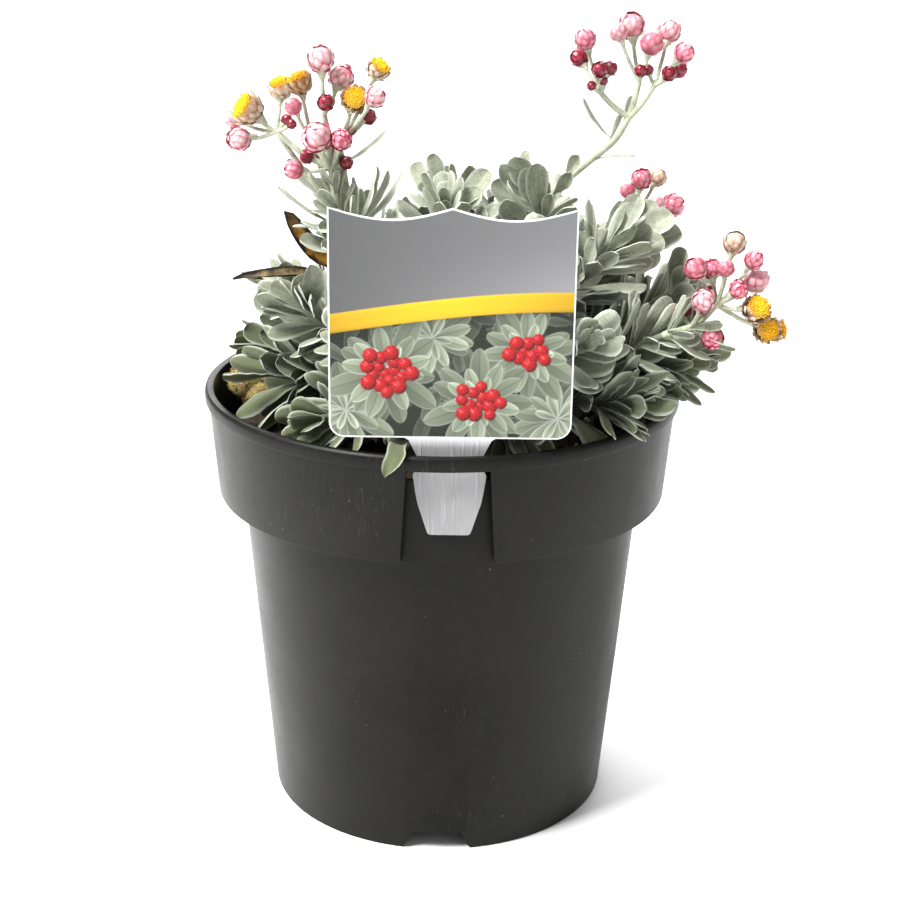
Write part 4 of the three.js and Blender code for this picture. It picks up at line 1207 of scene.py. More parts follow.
def add_disc(skin, head, seed):
    """The crowded tube florets of an open head: a low dome, darker and looser towards its edge."""
    centre, axis, radius = head["at"], head["facing"], head["radius"]
    axes, base = cross_frame(axis), FLORETS[head["tint"]]
    for i in range(FLORETS_PER_HEAD):
        share = math.sqrt((i + 0.5) / FLORETS_PER_HEAD)
        outward = outwards(axes, i * GOLDEN_ANGLE)
        spot = centre + axis * radius * (0.46 + 0.26 * (1 - share * share)) + outward * radius * 0.8 * share
        lean = unit(axis + outward * (share * 0.7 + spread(seed, i, 4, 0.12)))
        tall = radius * (0.2 + 0.12 * draw(seed, i, 5))
        shade = lerp(1.1, 0.6, share**3) * lerp(0.75, 1.15, draw(seed, i, 6))
        tone = (base[0] * shade, base[1] * shade * lerp(1, 0.75, share), base[2], 1)
        radii = [radius * 0.05, radius * 0.075, radius * 0.035]
        add_stem(skin, [spot, spot + lean * tall * 0.7, spot + lean * tall], radii, 5, tone)


def add_head(scales, florets, head, seed):
    """A flower head: a core, overlapping scales in a spiral, and in an open head its disc of florets."""
    form, (foot, edge, middle) = HEAD_FORMS[head["kind"]], TINTS[head["tint"]]
    axis, radius = head["facing"], head["radius"]
    axes = cross_frame(axis)
    is_open = head["kind"] == "open"
    add_ball(scales, head["at"], axis, radius * (0.74 if is_open else 0.9), 0.96, (*edge, 1), 14, 9)
    start = 6.3 * draw(seed, 0, 9)
    for i in range(form["scales"]):
        rise = (i + 0.5) / form["scales"]
        turn = i * GOLDEN_ANGLE + start + spread(seed, i, 4, 0.12)
        outward = outwards(axes, turn)
        polar = lerp(form["lowest"], form["highest"], rise) + spread(seed, i, 1, 0.1)
        glow = lerp(0.55, 1.0, rise) * lerp(0.85, 1.05, draw(seed, i, 3))
        blushed = 0.55 * draw(seed, i, 7) ** 2
        ridge = [min(1, lerp(c, e, blushed) * glow) for c, e in zip(middle, edge)]
        tint = (foot, [c * lerp(0.8, 1, rise) for c in edge], ridge)
        flare = 0.1 + 0.22 * rise if is_open and rise > 0.5 else 0.0
        lift = 1.03 + spread(seed, i, 2, 0.045)
        if head["tint"] == "blush" and draw(seed, i, 8) > 0.86:
            lift += 0.12
        add_scale(scales, head, outward, polar, form["arc"], form["width"], lift, flare, tint)
    if is_open:
        add_disc(florets, head, seed)


def fork_buds(spray_name):
    """The tight young buds that crowd below a spray's heads, round each fork."""
    number, buds = BUD_DRAWS + list(SPRAYS).index(spray_name), []
    for fork_number, fork in enumerate(SPRAYS[spray_name]["forks"]):
        for i in range(3):
            chances = [draw(number, fork_number * 9 + i, use) for use in (1, 2, 3, 4)]
            heading = on_sphere(chances[0] * 360, 25 + 40 * chances[1])
            start = np.array(fork, float)
            at = start + heading * (4 + 3.5 * chances[2])
            radius = 1.5 + 0.8 * chances[3]
            near, in_front = [], False
            for other in HEADS[spray_name] + buds:
                gap = at - other["at"]
                near.append(np.linalg.norm(gap) - radius - other["radius"])
                in_front |= gap[1] < 0 and math.hypot(gap[0], gap[2]) < other["radius"] + radius * 0.5
            if min(near) > -0.4 and not in_front:
                bud = {"start": start, "at": at, "radius": radius, "kind": "bud", "tint": "crimson"}
                buds.append({**bud, "facing": heading})
    return buds


# What a user would change


def colour_choice(name, description, default):
    return bpy.props.FloatVectorProperty(
        name=name, description=description, subtype="COLOR", size=3, min=0, max=1, default=default
    )


def count_choice(name, description, default, least, most):
    return bpy.props.IntProperty(name=name, description=description, default=default, min=least, max=most)


class HelichrysumPot(bpy.types.PropertyGroup):
    colour: colour_choice("Pot colour", "Colour of the pot's plastic", (0.003, 0.0029, 0.0024))
    sides: count_choice("Sides", "Facets round the pot", 160, 24, 256)


class HelichrysumPlant(bpy.types.PropertyGroup):
    leaf_colour: colour_choice("Leaf colour", "Upper side of the leaves", (0.35, 0.368, 0.282))
    underside_colour: colour_choice("Underside colour", "Woolly lower side of the leaves", (0.45, 0.47, 0.37))
    fill_leaves: count_choice("Fill leaves", "Smaller leaves on each shoot, between its main ones", 26, 0, 48)
    stalk_colour: colour_choice("Stalk colour", "Felted flower stalks", (0.55, 0.59, 0.42))


class HelichrysumCompost(bpy.types.PropertyGroup):
    colour: colour_choice("Compost colour", "Damp peat compost", (0.05, 0.033, 0.021))
    crumbs: count_choice("Crumbs", "Loose crumbs on the surface", 520, 0, 2000)


class HelichrysumLabel(bpy.types.PropertyGroup):
    sheet_colour: colour_choice("Sheet colour", "Bare plastic at the card's edge", (0.66, 0.67, 0.69))
    ground_colour: colour_choice("Ground colour", "Silver-grey ground of the print", (0.13, 0.13, 0.133))
    band_colour: colour_choice("Band colour", "Band across the card", (0.55, 0.33, 0.01))


class HelichrysumStage(bpy.types.PropertyGroup):
    floor_colour: colour_choice("Floor colour", "Plain floor under the pot", (0.86, 0.86, 0.86))
    light: bpy.props.FloatProperty(
        name="Light", description="Strength of the studio light", default=1.0, min=0, max=10
    )


# One operator for each piece or group of like pieces


class HELICHRYSUM_OT_pot(bpy.types.Operator):
    """Makes the tapered pot with its band, bead, label recess, foot notches and drain holes"""

    bl_idname = "helichrysum.pot"
    bl_label = "Make pot"

    def execute(self, context):
        settings = context.scene.helichrysum_pot
        sides, bead, band, top = settings.sides, POT_HEIGHT - BEAD_HEIGHT, BAND_BOTTOM_Z, POT_HEIGHT
        rim, band_foot, band_top, body, foot = (
            RIM_RADIUS, BAND_BOTTOM_RADIUS, BAND_TOP_RADIUS, BODY_TOP_RADIUS, FOOT_RADIUS,
        )
        inner, foot_inside, pad = rim - BEAD_WIDTH, foot - WALL, FLOOR_PAD_RADIUS
        underside = [(0, 0), (pad, 0), (pad + 3, FLOOR_Z), (foot_inside, FLOOR_Z)]
        outer = [
            (foot_inside, 0.3), (foot_inside + 0.3, 0), (foot - 0.5, 0), (foot - 0.1, 0.25),
            (foot + 0.05, 0.8), (body - 0.1, band - 1.6), (body + 0.15, band - 0.5), (body + 0.8, band),
            (band_foot - 0.8, band), (band_foot - 0.25, band + 0.15), (band_foot, band + 0.7),
            (band_top, bead - 0.6), (band_top + 0.15, bead - 0.1), (band_top + 0.7, bead + 0.1),
            (rim - 0.25, bead + 0.35), (rim, bead + 1), (rim, top - 1.3), (rim - 0.25, top - 0.55),
            (rim - 0.9, top),
        ]
        inside = [
            (inner + 0.7, top), (inner + 0.15, top - 0.3), (inner, top - 0.9), (inner, bead),
            (band_foot - WALL, band + WALL), (body - WALL, band + WALL), (foot_inside + 0.6, FLOOR_Z + WALL),
            (pad + 2, FLOOR_Z + WALL), (pad - 1, WALL), (0, WALL),
        ]
        shell = turned(underside + outer + inside, sides)
        solid = turned([(0, 0)] + outer[3:] + [(0, top)], sides)

        def drum(radius):
            low, high = band - 11, top + 10
            return turned([(0, low), (radius, low), (radius, high), (0, high)], sides)

        def block(top_width, bottom_width, low, high, y=-70):
            upper, lower = top_width / 2, bottom_width / 2
            return plate([(-lower, low), (lower, low), (upper, high), (-upper, high)], y, 20)

        aside = shifted(RECESS_X)
        wide, narrow = RECESS_BOTTOM_WIDTH, RECESS_TOP_WIDTH
        frame_block = block(narrow + 2 * WALL, wide + 2 * WALL, band + 0.02, bead - 0.02)
        frame_block.transform(aside)
        behind = ("DIFFERENCE", drum(RECESS_RADIUS - WALL), STILL)
        panel = carve(frame_block, ("INTERSECT", solid, STILL), behind)
        recess = block(narrow, wide, band - 1, bead)
        recess.transform(aside)
        recess = carve(recess, ("DIFFERENCE", drum(RECESS_RADIUS), STILL))
        slot = block(narrow, narrow, bead - SLOT_HEIGHT, bead + 0.01)
        steps = [("UNION", panel, STILL), ("DIFFERENCE", recess, STILL), ("DIFFERENCE", slot, aside)]
        for i in range(FOOT_NOTCHES):
            notch = block(NOTCH_TOP_WIDTH, NOTCH_BOTTOM_WIDTH, -1, NOTCH_HEIGHT, -foot + 10)
            turn = math.radians(i * 360 / FOOT_NOTCHES)
            steps.append(("DIFFERENCE", notch, Matrix.Rotation(turn, 4, "Z")))
        for i in range(DRAIN_HOLES):
            turn = (i + 0.5) / DRAIN_HOLES * 2 * math.pi
            hole = turned([(0, 1), (DRAIN_HOLE_RADIUS, 1), (DRAIN_HOLE_RADIUS, 14), (0, 14)], 24)
            place = shifted(DRAIN_CIRCLE_RADIUS * math.cos(turn), DRAIN_CIRCLE_RADIUS * math.sin(turn))
            steps.append(("DIFFERENCE", hole, place))
        pot = placed("pot_moulding", carve(shell, *steps), moulded_plastic(settings.colour[:]), 32)
        seat(pot, "pot", "pot")
        return {"FINISHED"}


class HELICHRYSUM_OT_compost(bpy.types.Operator):
    """Makes the compost with its crumbs and grains of perlite, and the mossy stone that lies on it"""

    bl_idname = "helichrysum.compost"
    bl_label = "Make compost and stone"

    def execute(self, context):
        settings = context.scene.helichrysum_compost
        wall = RECESS_RADIUS - WALL - GAP
        skin = Skin()
        skin.loft(self.surface_rings(wall), np.array((0.5, 0.5, 0.5, 1)))
        for i in range(settings.crumbs):
            reach = wall * math.sqrt(draw(CRUMB_DRAWS, i, 1)) * 0.975
            turn = 6.2832 * draw(CRUMB_DRAWS, i, 2)
            size = 0.7 + 2.6 * draw(CRUMB_DRAWS, i, 3) ** 3
            at = np.array([reach * math.cos(turn), reach * math.sin(turn), SOIL_Z + 0.4 + size * 0.2])
            axis = on_sphere(360 * draw(CRUMB_DRAWS, i, 4), 90 * draw(CRUMB_DRAWS, i, 5))
            add_ball(skin, at, axis, size, 0.5 + draw(CRUMB_DRAWS, i, 6) * 0.9, (0.5, 0.5, 0.5, 1), 6, 4)
        seat(skin.object("compost_surface", damp_compost(settings.colour[:]), 50), "compost", "compost")
        grains = Skin()
        for i in range(PERLITE_GRAINS):
            reach = wall * math.sqrt(draw(PERLITE_DRAWS, i, 1)) * 0.97
            turn = 6.2832 * draw(PERLITE_DRAWS, i, 2)
            size = 0.5 + 0.9 * draw(PERLITE_DRAWS, i, 3)
            at = np.array([reach * math.cos(turn), reach * math.sin(turn), SOIL_Z + 1.2])
            add_ball(grains, at, on_sphere(360 * draw(PERLITE_DRAWS, i, 4), 30), size, 0.8, WHITE, 7, 4)
        add_ball(grains, FRONT_GRAIN, on_sphere(0, 80), 1.8, 0.9, WHITE, 12, 8)
        seat(grains.object("perlite_grains", perlite(), 40), "stone")
        self.make_stone()
        return {"FINISHED"}

    def surface_rings(self, wall):
        """The uneven surface from the middle outwards, then down the wall and back below."""
        sides = 96
        turns = [s / sides * 2 * math.pi for s in range(sides)]
        rings = []
        for r in [wall - i * 1.9 for i in range(41)][::-1]:
            ring = []
            for s, a in enumerate(turns):
                x, y = max(r, 0.6) * math.cos(a), max(r, 0.6) * math.sin(a)
                ripple = 0.5 * math.sin(x * 0.9) * math.sin(y * 0.8 + x * 0.3)
                bump = 1.1 * math.sin(x * 0.21 + 1) * math.sin(y * 0.17) + ripple
                bump += spread(int(r * 3), s, 1, 0.35)
                ring.append((x, y, SOIL_Z + bump - (0.8 if r > wall - 1 else 0)))
            rings.append(np.array(ring))
        for r, z in ((wall, SOIL_Z - 22), (wall - 6, SOIL_Z - 22.5), (1, SOIL_Z - 23)):
            rings.append(np.array([(r * math.cos(a), r * math.sin(a), z) for a in turns]))
        return rings

    def make_stone(self):
        """The stone, the lump at its left and short strands of moss on both."""

        def swell(d, a, r, s):
            waves = 1 + 0.05 * math.sin(5 * d[0] + 2) + 0.06 * math.sin(7 * d[1] + 3 * d[2])
            return waves + spread(r, s, 2, 0.02)

        stone, lump = Skin(), STONE_CENTRE + LUMP_OFFSET
        add_lump(stone, STONE_CENTRE, STONE_SIZE / 2, 22, 32, swell, WHITE)
        add_ball(stone, lump, on_sphere(30, 50), LUMP_RADIUS, 0.95, WHITE, 24, 16)
        for i in range(MOSS_STRANDS):
            d = on_sphere(360 * draw(MOSS_DRAWS, i, 1), -20 + 110 * draw(MOSS_DRAWS, i, 2))
            at = STONE_CENTRE + d * STONE_SIZE / 2 if i % 2 else lump + d * (LUMP_RADIUS - 0.2)
            lean = unit(d + np.array([spread(MOSS_DRAWS, i, 3, 0.5), spread(MOSS_DRAWS, i, 4, 0.5), 0.4]))
            add_stem(stone, [at, at + lean * (0.6 + draw(MOSS_DRAWS, i, 5))], [0.32, 0.08], 4, WHITE)
        seat(stone.object("moss_on_stone", mossy_stone(), 60), "stone", "mossy_stone")


class HELICHRYSUM_OT_crown(bpy.types.Operator):
    """Makes the woody crown that the shoots grow from"""

    bl_idname = "helichrysum.crown"
    bl_label = "Make woody crown"

    def execute(self, context):
        def swell(d, a, r, s):
            return 0.97 + 0.035 * math.sin(9 * a + 3 * d[2]) + spread(r, s, 5, 0.012)

        skin = Skin()
        add_lump(skin, CROWN, CROWN_RADIUS, 26, 48, swell, (0.5, 0.5, 0.5, 1))
        add_stem(skin, [CROWN, CROWN - np.array([0, 0, ROOT_DEPTH])], [8.5, 3], 20)
        seat(skin.object("crown_bark", bark((0.16, 0.11, 0.07)), 50), "wood", "woody_crown")
        return {"FINISHED"}


class HELICHRYSUM_OT_shoots(bpy.types.Operator):
    """Makes the leafy shoots: main leaves by the part's own rule, and smaller ones between them"""

    bl_idname = "helichrysum.shoots"
    bl_label = "Make leafy shoots"

    def execute(self, context):
        settings = context.scene.helichrysum_plant
        finish = woolly_leaf(settings.leaf_colour[:], settings.underside_colour[:])
        for shoot in SHOOTS:
            skin = Skin()
            stem = [on_axis(shoot, CROWN_RADIUS), on_axis(shoot, shoot["top"])]
            # Stems take the leaf finish's underside colour, with a low shade value that darkens it as painted
            # shade.
            add_stem(skin, stem, [STEM_RADIUS, STEM_TIP_RADIUS], 10, (0.3, 0.1, 0.3, 1))
            self.add_leaves(skin, shoot, settings.fill_leaves)
            seat(skin.object("leaves_" + shoot["name"][6:], finish, 70), "leaves", shoot["name"])
        return {"FINISHED"}


    def add_leaves(self, skin, shoot, fill_count):
        """The shoot's main leaves, the smaller ones between them, and those listed one by one."""

        def blade(leaf, k, use, shade_use, thickness=0.6):
            shade = lerp(*LEAF_PAINTED_SHADES[shoot["ring"]], draw(shoot["id"], k, shade_use))
            add_blade(skin, leaf, draw(shoot["id"], k, use), shade, thickness)

        for k in range(LEAVES_PER_SHOOT):
            leaf = fit_leaf(shoot, plan_leaf(shoot, k))
            if leaf:
                blade(leaf, k, 20, 22)
        for k in range(fill_count):
            leaf = fit_leaf(shoot, fill_leaf(shoot, k, fill_count), FILL_CELL_MARGIN, FILL_SLACK)
            if leaf and not hides_stone(leaf):
                blade(leaf, k, 21, 23, 0.5)
        for k, (reach, tip, width) in enumerate(FILLERS.get(shoot["name"][6:], ())):
            leaf = reaching_leaf(shoot["axis"], on_axis(shoot, reach), tip, width * FILLER_WIDENING)
            turned_to = [spread(shoot["id"], k, 26 + axis, 0.35) for axis in range(3)]
            leaf["facing"] = unit(FILLER_FACING + turned_to)
            blade(leaf, k, 24, 25, 0.5)
        if shoot["name"] == HANGING_SHOOT:
            path = smooth_path([on_axis(shoot, shoot["tip"] - 8), *HANGING_PATH], 4)
            # The hanging leaf takes the darkest painted shade of the leaf finish.
            add_ribbon(skin, path, unit(HANGING_FACING), HANGING_WIDTH, 0.3, 2, 0.0)


class HELICHRYSUM_OT_sprays(bpy.types.Operator):
    """Makes the flower sprays: felted stalks, and heads of overlapping papery scales"""

    bl_idname = "helichrysum.sprays"
    bl_label = "Make flower sprays"

    def execute(self, context):
        settings = context.scene.helichrysum_plant
        stalk_finish = felted_stalk(settings.stalk_colour[:])
        leaf_finish = woolly_leaf(settings.leaf_colour[:], settings.underside_colour[:], "stalk_leaf")
        scale_finish, floret_finish = papery_scale(), pollen_disc()
        for number, name in enumerate(SPRAYS):
            stalks, blades, scales, florets = Skin(), Skin(), Skin(), Skin()
            path = smooth_path(stalk_path(name))
            add_stem(stalks, path, [lerp(1.5, 1.1, i / len(path)) for i in range(len(path))], 10)
            if name == "spray_left":
                self.add_bundle(stalks, name)
            buds = fork_buds(name)
            runs = side_runs(name) + [(bud["start"], bud["at"], 0.5) for bud in buds]
            for start, end, radius in runs:
                run = smooth_path([start, end], 4, 0.06)
                foot, neck = (1.15, 0.95) if radius > 1 else (0.78, 0.6)
                radii = [lerp(foot, neck, i / (len(run) - 1)) for i in range(len(run))]
                add_stem(stalks, run, radii, 8)
            for head in HEADS[name] + buds:
                away = unit(head["start"] - head["at"])
                neck = [head["at"] + away * head["radius"] * reach for reach in (0.85, 1.1, 1.5)]
                add_stem(stalks, neck, [head["radius"] * 0.45, head["radius"] * 0.3, 0.6], 10)
            # Stalk leaves take a middle level of the leaf finish's painted light and shade, and wild leaves a
            # random one.
            for row in SPRAYS[name]["leaves"]:
                add_blade(blades, stalk_leaf(name, *row), draw(number, int(row[2] * 10), 30), 0.6, 0.5)
            for k in range(SPRAYS[name]["wild_leaves"]):
                leaf = wild_leaf(name, k)
                points = np.array([leaf_point(leaf, share) for share in (0.3, 0.6, 1)])
                if all(distance(points, head["at"]).min() > head["radius"] for head in HEADS[name]):
                    add_blade(blades, leaf, draw(number, k, 31), lerp(0.35, 0.9, draw(number, k, 32)), 0.45)
            for i, head in enumerate(HEADS[name] + buds):
                add_head(scales, florets, head, number * 60 + i)
            seat(stalks.object("stalks_" + name[6:], stalk_finish, 60), "leaves", name)
            seat(blades.object("stalk_leaves_" + name[6:], leaf_finish, 70), "leaves")
            seat(scales.object("heads_" + name[6:], scale_finish, 60), "flower_heads", name)
            if florets.count:
                seat(florets.object("florets_" + name[6:], floret_finish, 60), "flower_heads")
        return {"FINISHED"}

    def add_bundle(self, stalks, name):
        """The stems that fan out from low on the stalk, one or two to each fork."""
        path = stalk_path(name)
        for number, fork in enumerate(SPRAYS[name]["forks"] * 2):
            start = path[1] + np.array([spread(BUNDLE_START_DRAWS, number, axis, 1.1) for axis in range(3)])
            bend = lerp(start, np.array(fork, float), 0.5)
            aside, higher = (spread(BUNDLE_BEND_DRAWS, number, use, 1.6) for use in (0, 1))
            bend = bend + np.array([aside, 4 + higher, -1.5])
            run = smooth_path([start, bend, np.array(fork, float)], 5)
            add_stem(stalks, run, [lerp(1.0, 0.8, i / len(run)) for i in range(len(run))], 8)


class HELICHRYSUM_OT_withered(bpy.types.Operator):
    """Makes the two withered leaves on the left shoot"""

    bl_idname = "helichrysum.withered"
    bl_label = "Make withered leaves"

    def execute(self, context):
        finish = withered_blade()
        for number, (leaf, look) in enumerate(zip(WITHERED, WITHERED_LOOKS)):
            (root, bend, tip), (face, width, roll, shade) = withered_path(leaf), look
            path = smooth_path([lerp(root, bend, 0.06), bend, tip], 6)
            skin = Skin()
            add_ribbon(skin, path, unit(np.array(face)), width, roll, number, shade)
            blade = skin.object(f"withered_blade_{number + 1}", finish, 70)
            seat(blade, "withered_leaves", f"withered_leaf_{number + 1}")
        return {"FINISHED"}


def label_outline():
    """The sheet's outline from the card's top right corner round by the left, the tail and back."""
    half, low, radius = CARD_WIDTH / 2, CARD_BOTTOM_Z, CARD_CORNER_RADIUS
    outline = []
    for x in np.linspace(half, -half, 49):
        outline.append((x, CARD_CORNER_Z - CARD_SCALLOP * math.sin(abs(x) / half * math.pi)))
    tail = [(-x, z) for x, z in reversed(LABEL_TAIL)]
    for side, start, then in ((-1, 180, [*LABEL_TAIL, *tail]), (1, 270, [])):
        for turn in np.radians(np.linspace(start, start + 90, 9)):
            x = side * (half - radius) + radius * math.cos(turn)
            outline.append((x, low + radius + radius * math.sin(turn)))
        outline += then
    return outline


class HELICHRYSUM_OT_label(bpy.types.Operator):
    """Makes the label: a printed card whose frosted tail hangs through the slot in the pot's rim"""

    bl_idname = "helichrysum.label"
    bl_label = "Make label"

    def execute(self, context):
        settings = context.scene.helichrysum_label
        sheet = plate(label_outline(), LABEL_BACK_Y, LABEL_THICKNESS)
        sheet.transform(shifted(LABEL_X))
        seat(placed("label_sheet", sheet, label_sheet(settings.sheet_colour[:]), 30), "label", "label")
        seat(self.print_layer(settings), "label")
        return {"FINISHED"}

    def print_layer(self, settings):
        """The print as a thin closed sheet: a fine grid in front, whose points carry the picture."""
        columns, rows = PRINT_COLUMNS, PRINT_ROWS
        half, corner = CARD_WIDTH / 2 - PRINT_BORDER, CARD_CORNER_RADIUS - PRINT_BORDER
        across = np.linspace(-half, half, columns)
        past = np.clip(np.abs(across) - (half - corner), 0, corner)
        low = CARD_BOTTOM_Z + PRINT_BORDER + corner - np.sqrt(corner**2 - past**2)
        high = CARD_CORNER_Z - PRINT_BORDER - CARD_SCALLOP * np.sin(np.abs(across) / half * math.pi)
        z = low + (high - low) * np.linspace(0, 1, rows)[:, None]
        x = np.broadcast_to(across, z.shape)
        picture = self.paint(x, z, settings)
        front = LABEL_BACK_Y - LABEL_THICKNESS - PRINT_THICKNESS
        points = np.stack([x + LABEL_X, np.full(x.shape, front), z], -1).reshape(-1, 3)
        grid = np.arange(rows * columns).reshape(rows, columns)
        corners = [grid[:-1, :-1], grid[:-1, 1:], grid[1:, 1:], grid[1:, :-1]]
        faces = np.stack(corners, -1).reshape(-1, 4).tolist()
        rim = [*grid[0, :-1], *grid[:-1, -1], *grid[-1, :0:-1], *grid[:0:-1, 0]]
        back = len(points)
        for i in range(len(rim)):
            j = (i + 1) % len(rim)
            faces.append((rim[j], rim[i], back + i, back + j))
        faces.append(tuple(back + i for i in reversed(range(len(rim)))))
        behind = points[rim] + np.array([0, PRINT_THICKNESS + 0.02, 0])
        tones = picture.reshape(-1, 3)
        ink = Skin()
        ink.add(np.concatenate([points, behind]), faces, np.concatenate([tones, tones[rim]]))
        return ink.object("label_print", label_ink(), 30)

    def paint(self, x, z, settings):
        """A generic picture: leaf rosettes and pompon flowers below a curved band, on silver grey."""
        half = CARD_WIDTH / 2
        side = (x + half) / CARD_WIDTH
        band = BAND_LOW_Z + BAND_RISE * np.sin(side * math.pi / 2)
        grain = np.sin(x * 91.7 + z * 57.3) * np.sin(x * 43.1 - z * 77.9)
        sheen = 1 + 0.5 * np.exp(-((z - band) / 14) ** 2) * side
        shade = (0.7 + 0.55 * side) * sheen * (1 + 0.03 * grain)
        header = shade[..., None] * np.array(settings.ground_colour[:])
        picture = np.ones(x.shape + (3,)) * (0.012, 0.018, 0.009)
        for i in range(PRINT_LOOSE_LEAVES):
            height, turn, size, light = (draw(LOOSE_LEAF_DRAWS, i, use) for use in (2, 3, 4, 5))
            root = (spread(LOOSE_LEAF_DRAWS, i, 1, half), lerp(CARD_BOTTOM_Z, BAND_LOW_Z + 8, height))
            self.paint_leaf(picture, x, z, root, 6.28 * turn, lerp(9, 15, size), 0.12 + 0.3 * light)
        for number, (cx, cz, reach, heads) in enumerate(PRINT_ROSETTES):
            for ring, (count, size, light) in enumerate(PRINT_RINGS):
                for k in range(count):
                    n = ring * 20 + k
                    turn = (k + 0.5 * ring + spread(ROSETTE_DRAWS + number, n, 1, 0.3)) / count * 2 * math.pi
                    length = reach * size * (1 + spread(ROSETTE_DRAWS + number, n, 2, 0.18))
                    glow = light * (1 + spread(ROSETTE_DRAWS + number, n, 3, 0.25))
                    self.paint_leaf(picture, x, z, (cx, cz), turn, length, glow)
            for k in range(heads):
                out, turn = 2.05 * math.sqrt(k + 0.3), k * GOLDEN_ANGLE + number
                spot = (cx + out * math.cos(turn), cz + 0.85 * out * math.sin(turn))
                radius = lerp(1.9, 2.6, draw(POMPON_DRAWS + number, k, 1))
                self.paint_pompon(picture, x, z, spot, radius, number * 40 + k)
        shadow = 1 - 0.6 * np.exp(-np.clip(band - BAND_HALF - z, 0, 99) / 2.5)
        picture *= shadow[..., None]
        glow = 0.8 + 0.45 * np.sin(side * math.pi) - 0.22 * np.clip((band - z) / BAND_HALF, -1, 1) ** 3
        gold = np.clip(glow[..., None] * np.array(settings.band_colour[:]), 0, 1)
        over_band = self.fade(z - band - BAND_HALF)[..., None]
        over_leaves = self.fade(z - band + BAND_HALF)[..., None]
        picture = lerp(picture, gold, over_leaves)
        return lerp(picture, header, over_band)

    def fade(self, depth):
        """How far points inside an edge by the given depth are covered, from 0 to 1."""
        return np.clip(depth / PRINT_EDGE + 0.5, 0, 1)

    def paint_leaf(self, picture, x, z, root, turn, size, light):
        """One spoon-shaped leaf with a pale margin and a darker midrib."""
        near = np.abs(x[0] - root[0]) < size
        dx, dz = x[:, near] - root[0], z[:, near] - root[1]
        along = (dx * math.cos(turn) + dz * math.sin(turn)) / size
        across = (dz * math.cos(turn) - dx * math.sin(turn)) / size
        wide = 0.17 * np.sqrt(np.clip(np.sin(math.pi * np.clip(along, 0, 1) ** 1.5), 0, 1))
        inside = (wide - np.abs(across)) * size
        cover = self.fade(inside) * (along > 0) * (along < 1)
        margin = np.clip(1 - inside / 0.55, 0, 1)
        midrib = np.exp(-((across * size / 0.22) ** 2))
        tilt = 1 + 0.22 * np.tanh(across * 30) * math.cos(turn + 0.8)
        tone = light * tilt * (0.45 + 0.75 * np.clip(along, 0, 1)) * (1 - 0.35 * midrib)
        colour = tone[..., None] * np.array((0.23, 0.27, 0.19)) + (margin * light * 0.22)[..., None]
        picture[:, near] = lerp(picture[:, near], colour, cover[..., None])

    def paint_pompon(self, picture, x, z, spot, radius, seed):
        """One round red head, lit from the upper left, with rows of scales."""
        near = np.abs(x[0] - spot[0]) < radius * 1.3
        dx, dz = (x[:, near] - spot[0]) / radius, (z[:, near] - spot[1]) / radius
        out, turn = np.hypot(dx, dz), np.arctan2(dz, dx)
        bulge = np.sqrt(np.clip(1 - out**2, 0, 1))
        ring = np.floor(out * 3.2)
        scales = 0.5 + 0.5 * np.cos(turn * (4 + 2 * ring) + ring * 1.7 + seed)
        light = np.clip(0.25 + 0.75 * (0.45 * dz - 0.4 * dx + 0.75 * bulge), 0.08, 1)
        light = light * (0.55 + 0.45 * scales)
        shine = np.clip(1 - np.hypot(dx + 0.3, dz - 0.35) / 0.42, 0, 1) * scales
        colour = light[..., None] * np.array((0.62, 0.008, 0.014))
        colour = colour + shine[..., None] * np.array((0.3, 0.16, 0.16))
        cover = self.fade((1 - out) * radius)
        picture[:, near] = lerp(picture[:, near], colour, cover[..., None])


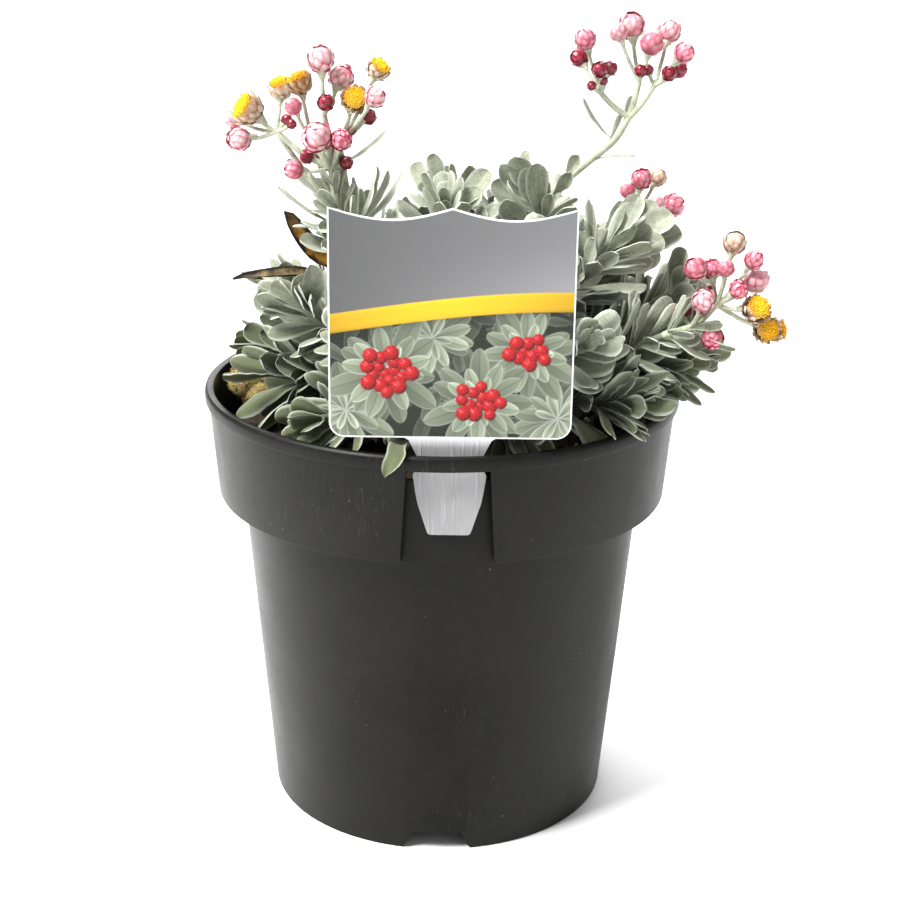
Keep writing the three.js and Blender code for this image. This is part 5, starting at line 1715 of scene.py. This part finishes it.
class HELICHRYSUM_OT_stage(bpy.types.Operator):
    """Makes the pale floor, the soft studio light and the camera at the photograph's angle"""

    bl_idname = "helichrysum.stage"
    bl_label = "Make stage"

    def execute(self, context):
        scene, settings = context.scene, context.scene.helichrysum_stage
        mesh = bpy.data.meshes.new("floor")
        mesh.from_pydata([(-9, -5, 0), (9, -5, 0), (9, 13, 0), (-9, 13, 0)], [], [(0, 1, 2, 3)])
        floor = placed("floor", mesh, pale_floor(settings.floor_colour[:]))
        world = bpy.data.worlds.new("studio")
        world.use_nodes = True
        room = world.node_tree.nodes["Background"].inputs
        room[0].default_value, room[1].default_value = WHITE, ROOM_LIGHT * settings.light
        scene.world = world
        for name, place, size, power in STUDIO_LIGHTS:
            light = bpy.data.lights.new(name, "AREA")
            light.size, light.energy = size, power * settings.light
            lamp = linked(name, light)
            lamp.location = place
            lamp.rotation_euler = (Vector(STUDIO_AIM) - Vector(place)).to_track_quat("-Z", "Y").to_euler()
        lens = bpy.data.cameras.new("photo_view")
        lens.sensor_width, lens.lens = CAMERA_SENSOR, CAMERA_LENS
        lens.clip_start, lens.clip_end = 0.01, 50
        camera = linked("photo_view", lens)
        tilt = Matrix.Rotation(math.radians(90 - CAMERA_TILT), 4, "X")
        roll = Matrix.Rotation(math.radians(CAMERA_ROLL), 4, "Z")
        camera.matrix_world = shifted(*CAMERA_PLACE) @ (tilt @ roll)
        scene.camera = camera
        scene.view_settings.view_transform = "Standard"
        return {"FINISHED"}


class HELICHRYSUM_PT_panel(bpy.types.Panel):
    bl_label = "Potted helichrysum"
    bl_idname = "HELICHRYSUM_PT_panel"
    bl_space_type = "VIEW_3D"
    bl_region_type = "UI"
    bl_category = "Helichrysum"

    def draw(self, context):
        for settings in (group[0] for group in GROUPS):
            for key in getattr(context.scene, settings).__annotations__:
                self.layout.prop(getattr(context.scene, settings), key)
        for operator in OPERATORS:
            self.layout.operator(operator.bl_idname)


GROUPS = (
    ("helichrysum_pot", HelichrysumPot),
    ("helichrysum_plant", HelichrysumPlant),
    ("helichrysum_compost", HelichrysumCompost),
    ("helichrysum_label", HelichrysumLabel),
    ("helichrysum_stage", HelichrysumStage),
)
OPERATORS = (
    HELICHRYSUM_OT_stage,
    HELICHRYSUM_OT_pot,
    HELICHRYSUM_OT_compost,
    HELICHRYSUM_OT_crown,
    HELICHRYSUM_OT_shoots,
    HELICHRYSUM_OT_sprays,
    HELICHRYSUM_OT_withered,
    HELICHRYSUM_OT_label,
)


def register():
    for name, group in GROUPS:
        bpy.utils.register_class(group)
        setattr(bpy.types.Scene, name, bpy.props.PointerProperty(type=group))
    for operator in OPERATORS:
        bpy.utils.register_class(operator)
    bpy.utils.register_class(HELICHRYSUM_PT_panel)


def unregister():
    bpy.utils.unregister_class(HELICHRYSUM_PT_panel)
    for operator in reversed(OPERATORS):
        bpy.utils.unregister_class(operator)
    for name, group in reversed(GROUPS):
        delattr(bpy.types.Scene, name)
        bpy.utils.unregister_class(group)


def main():
    register()
    bpy.ops.helichrysum.stage()
    bpy.ops.helichrysum.pot()
    bpy.ops.helichrysum.compost()
    bpy.ops.helichrysum.crown()
    bpy.ops.helichrysum.shoots()
    bpy.ops.helichrysum.sprays()
    bpy.ops.helichrysum.withered()
    bpy.ops.helichrysum.label()


if __name__ == "__main__":
    main()
